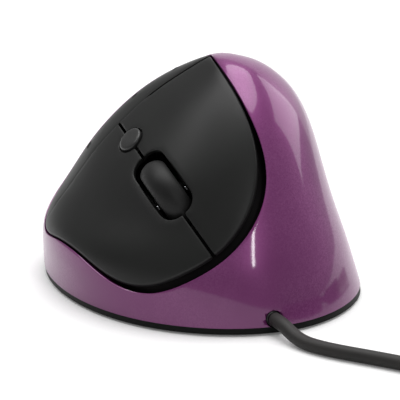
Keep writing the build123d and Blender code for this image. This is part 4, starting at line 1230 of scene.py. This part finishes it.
@dataclass
class PanelTile:
    """One black tile of the finger panel, from its node's outline: a button tongue or the fixed panel."""

    node: str
    name: str
    body_name: str
    body: Body
    plane: FingerPlane
    posts: tuple[tuple[float, float, float], ...]
    wall: float = 1.3
    edge_round: float = 0.42
    outline_step: float = 0.42
    grid_step: float = 1.3
    soften: float = 0.28
    beside: tuple[str, ...] = ()
    seam_shows_above: float = 11.5
    seam_reach: float = 1.4
    seam_fade: float = 2.0
    seam_blend: float = 0.4
    seam_gap: float = 0.03
    seam_flatness: float = 0.94
    least_facing: float = 0.25
    free_post_length: float = 4.0

    def outline(self, node: str) -> np.ndarray:
        """Reads the outline of a node's outer face on the panel's plane.

        Args:
            node: The node's name.

        Returns:
            The outline's points, evened out and softly rounded at its corners.
        """
        mesh = bmesh.new()
        mesh.from_mesh(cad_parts[node].data)
        bmesh.ops.remove_doubles(mesh, verts=mesh.verts, dist=2e-6)
        facing = Vector(self.plane.out)
        open_faces = {face for face in mesh.faces if face.normal.dot(facing) > self.least_facing}
        largest: set = set()
        while open_faces:
            group = {open_faces.pop()}
            wave = list(group)
            while wave:
                face = wave.pop()
                for edge in face.edges:
                    for beside in edge.link_faces:
                        if beside in open_faces:
                            open_faces.discard(beside)
                            group.add(beside)
                            wave.append(beside)
            if sum(face.calc_area() for face in group) > sum(face.calc_area() for face in largest):
                largest = group
        links: dict[int, list[int]] = {}
        for face in largest:
            for edge in face.edges:
                if sum(beside in largest for beside in edge.link_faces) == 1:
                    first, second = edge.verts[0].index, edge.verts[1].index
                    links.setdefault(first, []).append(second)
                    links.setdefault(second, []).append(first)
        mesh.verts.ensure_lookup_table()
        loops = []
        left = set(links)
        while left:
            start = min(left)
            loop, here, before = [start], links[start][0], start
            left.discard(start)
            while here != start and here in left:
                loop.append(here)
                left.discard(here)
                here, before = next(other for other in links[here] if other != before), here
            loops.append(np.array([tuple(mesh.verts[index].co) for index in loop]) / MM)
        mesh.free()
        longest = max(loops, key=lambda loop: float(np.linalg.norm(np.diff(loop, axis=0), axis=1).sum()))
        return self.soften_outline(self.plane.local(longest)[:, :2])

    def soften_outline(self, flat: np.ndarray) -> np.ndarray:
        """Evens out an outline's steps and rounds its corners a little.

        Args:
            flat: The outline.

        Returns:
            The finer, softer outline.
        """
        ring = np.vstack([flat, flat[:1]])
        runs = np.linalg.norm(np.diff(ring, axis=0), axis=1)
        along = np.concatenate([[0], np.cumsum(runs)])
        fine_count = int(along[-1] / (self.soften / 2))
        fine = np.column_stack(
            [np.interp(np.arange(fine_count) * along[-1] / fine_count, along, ring[:, axis]) for axis in (0, 1)]
        )
        soft = np.zeros_like(fine)
        weights = 0.0
        for shift in range(-5, 6):
            weight = math.exp(-0.5 * (shift / 2.2) ** 2)
            soft += weight * np.roll(fine, shift, axis=0)
            weights += weight
        soft = soft / weights
        count = int(along[-1] / self.outline_step)
        places = np.arange(count) * fine_count / count
        ring = np.vstack([soft, soft[:1]])
        return np.column_stack([np.interp(places, np.arange(fine_count + 1), ring[:, axis]) for axis in (0, 1)])

    def close_seam(self, flat: np.ndarray) -> tuple[np.ndarray, np.ndarray]:
        """Brings the outline to its neighbour where the moulded surface runs on over the root without a seam.

        Args:
            flat: The outline.

        Returns:
            The outline, and each point's share of the edge's rounding.
        """
        shares = np.ones(len(flat))
        closed = flat.copy()
        for node in self.beside:
            other = self.outline(node)
            ring = np.vstack([other, other[:1]])
            fine = np.vstack([ring[:-1] + (ring[1:] - ring[:-1]) * part for part in (0.0, 0.25, 0.5, 0.75)])
            gaps = np.linalg.norm(flat[:, None, :] - fine[None, :, :], axis=2)
            near, reach = fine[gaps.argmin(1)], gaps.min(1)
            low = np.clip((self.seam_shows_above - flat[:, 1]) / self.seam_fade, 0, 1)
            close = np.clip((self.seam_reach - reach) / self.seam_blend, 0, 1)
            pull = (low * close)[:, None]
            closed += pull * (near - flat) * 0.5 * (1 - self.seam_gap / np.maximum(reach, self.seam_gap))[:, None]
            shares = np.minimum(shares, 1 - self.seam_flatness * low * close)
        return closed, shares

    def build(self) -> bpy.types.Object:
        """Makes the tile: rounded edge, wall and both faces over the form, and the posts under it.

        Returns:
            The piece.
        """
        flat, shares = self.close_seam(self.outline(self.node))
        inward = ring_normals(flat) * shares[:, None]
        turn = self.edge_round
        rings = []
        rounding = ((0.0, turn), (0.13 * turn, 0.5 * turn), (0.5 * turn, 0.13 * turn), (turn, 0.0))
        for shift, depth in ((0.0, self.wall), *rounding):
            moved = flat + inward * shift
            sunk = depth if depth == self.wall else depth * shares
            rings.append(self.plane.place(np.column_stack([moved, self.plane.lift(moved) - sunk])))
        piece = ring_stack(self.name, rings, Ends.OPEN, 180.0)
        grown = edit(piece)
        grown.verts.ensure_lookup_table()
        count = len(flat)
        last = list(range(len(grown.verts) - count, len(grown.verts)))
        self.fill(grown, flat + inward * turn, last, rings[-1], 0.0)
        self.fill(grown, flat, list(range(count)), rings[0], self.wall)
        bmesh.update_edit_mesh(piece.data)
        close_edit(35.0)
        parts = [piece]
        packed = np.array([tuple(v.co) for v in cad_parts[self.node].data.vertices]) / MM
        low = min(self.plane.local(packed)[:, 2])
        for number, (along, across, radius) in enumerate(self.posts):
            high = float(self.plane.lift(np.array([[along, across]]))[0]) - self.wall + 0.1
            foot = float(low) if len(self.posts) == 1 else high - self.free_post_length
            profile = [(radius * 0.75, foot), (radius, foot + 0.4), (radius, high - 0.8), (radius * 1.4, high)]
            centre = self.plane.place(np.array((along, across, 0.0)))
            parts.append(lathe(f"{self.name}_post_{number}", profile, centre, self.plane.out, Ends.CAPPED, 32))
        return join(parts)

    def fill(
        self, grown: bmesh.types.BMesh, rim: np.ndarray, rim_order: list[int], rim_points: np.ndarray, depth: float
    ) -> None:
        """Fills a ring with triangles that follow the form.

        Args:
            grown: The piece's mesh in edit mode.
            rim: The ring on the plane.
            rim_order: Its vertices' numbers.
            rim_points: Its points, to match the vertices by place.
            depth: How far the face lies under the form.
        """
        grown.verts.ensure_lookup_table()
        places = {tuple(np.round(np.array(grown.verts[i].co) / MM, 4)): i for i in rim_order}
        keys = [tuple(np.round(np.array(Vector(point) * MM) / MM, 4)) for point in rim_points]
        order = [places[key] for key in keys] if all(key in places for key in keys) else rim_order
        low, high = rim.min(0), rim.max(0)
        columns = np.arange(low[0], high[0], self.grid_step)
        rows = np.arange(low[1], high[1], self.grid_step)
        spots = np.array([(x, y) for x in columns for y in rows])
        gaps = np.linalg.norm(spots[:, None, :] - rim[None, ::2, :], axis=2).min(1)
        spots = spots[gaps > 0.75 * self.grid_step]
        inside = np.zeros(len(spots), bool)
        ahead = np.roll(rim, -1, axis=0)
        for (x0, y0), (x1, y1) in zip(rim, ahead):
            crosses = (y0 > spots[:, 1]) != (y1 > spots[:, 1])
            if crosses.any():
                meet = x0 + (spots[:, 1] - y0) * (x1 - x0) / ((y1 - y0) or 1e-12)
                inside ^= crosses & (spots[:, 0] < meet)
        spots = spots[inside]
        flat = [Vector(tuple(point)) for point in np.vstack([rim, spots])]
        _, _, faces, origins, _, _ = delaunay_2d_cdt(flat, [], [list(range(len(rim)))], 1, 1e-7)
        heights = self.plane.lift(spots) - depth
        solid = self.plane.place(np.column_stack([spots, heights]))
        fresh = [grown.verts[index] for index in order]
        fresh += [grown.verts.new(Vector(point) * MM) for point in solid]
        for face in faces:
            corners = [fresh[origins[corner][0]] for corner in face if origins[corner]]
            if len(set(corners)) == 3:
                grown.faces.new(corners)


@dataclass
class SpeedKey:
    """The small oval pointer-speed key: stem, flange under the tongues, and domed cap."""

    plane: FingerPlane
    along: float = 7.6
    across: float = 7.0
    behind: float = 23.5
    rise: float = 0.8
    flange: float = 1.0
    flange_depth: float = 1.56
    stem_radius: float = 1.2
    steps: int = 72

    def build(self) -> bpy.types.Object:
        """Makes the key.

        Returns:
            The piece.
        """
        turns = np.arange(self.steps) * 2 * math.pi / self.steps
        oval = np.column_stack([np.cos(turns), np.sin(turns)])
        centre = np.array((-self.behind, 0.0))
        middle = float(self.plane.lift(centre[None, :])[0])
        nodes = np.array([tuple(v.co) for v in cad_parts["speed_button"].data.vertices]) / MM
        low = float(self.plane.local(nodes)[:, 2].min())

        def ring(shift: float, level: float) -> np.ndarray:
            """Gives an oval ring moved out by a shift, at a level over the form."""
            flat = centre + oval * (np.array((self.along, self.across)) / 2 + shift)
            heights = self.plane.lift(flat) + level
            return self.plane.place(np.column_stack([flat, heights]))

        def disc(radius: float, level: float) -> np.ndarray:
            """Gives a round ring at a level over the plane."""
            flat = centre + oval * radius
            return self.plane.place(np.column_stack([flat, np.full(self.steps, level)]))

        rings = [
            disc(self.stem_radius * 0.7, low),
            disc(self.stem_radius, low + 0.3),
            disc(self.stem_radius, middle - self.flange_depth - 0.35),
            ring(self.flange, -self.flange_depth - 0.3),
            ring(self.flange, -self.flange_depth),
            ring(0.0, -self.flange_depth),
            ring(0.0, self.rise * 0.28),
            ring(-0.09, self.rise * 0.55),
            ring(-0.32, self.rise * 0.82),
            ring(-0.75, self.rise * 0.98),
            ring(-1.3, self.rise * 1.04),
            ring(-2.0, self.rise * 1.06),
            ring(-2.5, self.rise * 1.06),
        ]
        return ring_stack("speed_key_cap", rings, Ends.CAPPED, 42.0)


# Scroll wheel


@dataclass
class ScrollWheel:
    """The crowned rubber tyre of the scroll wheel."""

    plane: FingerPlane
    radius: float = 11.5
    seat_radius: float = 8.83
    width: float = 7.5
    rise: float = 3.0
    slot_back: float = 2.5
    fullness: float = 1.8
    edge_step: float = 0.2
    edge_inset: float = 0.25
    crown_steps: int = 32

    def build(self) -> bpy.types.Object:
        """Makes the tyre.

        Returns:
            The piece.
        """
        level = float(self.plane.lift(np.array([[-self.slot_back, 0.0]]))[0]) + self.rise - self.radius
        centre = self.plane.place(np.array((-self.slot_back, 0.0, level)))
        half = self.width / 2
        profile = []
        for number in range(self.crown_steps + 1):
            turn = math.pi * number / self.crown_steps
            along = -half * math.copysign(abs(math.cos(turn)) ** (2 / self.fullness), math.cos(turn))
            lift = abs(math.sin(turn)) ** (2 / self.fullness)
            height = (self.radius - self.seat_radius - self.edge_step) * lift
            profile.append((self.seat_radius + self.edge_step + height, along))
        foot = half - self.edge_inset
        profile = [(self.seat_radius, -foot)] + profile + [(self.seat_radius, foot)]
        return lathe("tyre_crown", profile, centre, self.plane.across, Ends.JOINED, 120, 40.0)


# The whole


def dress_nodes() -> None:
    """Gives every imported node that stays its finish, with its facets smoothed."""
    for name, finish in NODE_FINISHES.items():
        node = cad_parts[name]
        node.data.materials.clear()
        node.data.materials.append(finish.material())
        weld = node.modifiers.new("weld", "WELD")
        weld.merge_threshold = 1e-6
        split = node.modifiers.new("edges", "EDGE_SPLIT")
        split.split_angle = math.radians(30)
        for face in node.data.polygons:
            face.use_smooth = True
        LOG.info("%s wears %s", name, finish.name)


def main() -> None:
    """Builds the studio, the cord and every piece, in order."""
    logging.basicConfig(level=logging.INFO, format="%(message)s")
    studio = Studio()
    studio.add_camera()
    CordSet().build()
    body = Body()
    plane = FingerPlane(body)
    enter(Shell(body, plane).build(), "housing", PEARL_ABS, ("main_shell",))
    post = 1.6
    tiles = (
        PanelTile(
            "left_click_button", "upper_tongue", "left_button", body, plane, ((6.2, 11.0, post),),
            beside=("palm_panel",),
        ),
        PanelTile(
            "right_click_button", "lower_tongue", "right_button", body, plane, ((6.2, -11.0, post),),
            beside=("palm_panel",),
        ),
        PanelTile(
            "palm_panel", "palm_tile", "housing", body, plane,
            ((-40.5, -9.84, 1.4), (-41.0, 8.2, 1.4), (-37.5, 21.32, 1.4)),
            beside=("left_click_button", "right_click_button"),
        ),
    )
    for tile in tiles:
        enter(tile.build(), tile.body_name, SATIN_ABS, (tile.node,))
    enter(SpeedKey(plane).build(), "speed_key", KEY_ABS, ("speed_button",))
    enter(ScrollWheel(plane).build(), "wheel", TYRE_RUBBER, ("wheel_tyre",))
    dress_nodes()
    studio.add_lights()
    studio.add_floor()
    bpy.context.scene.view_settings.view_transform = "Standard"


if __name__ == "__main__":
    main()
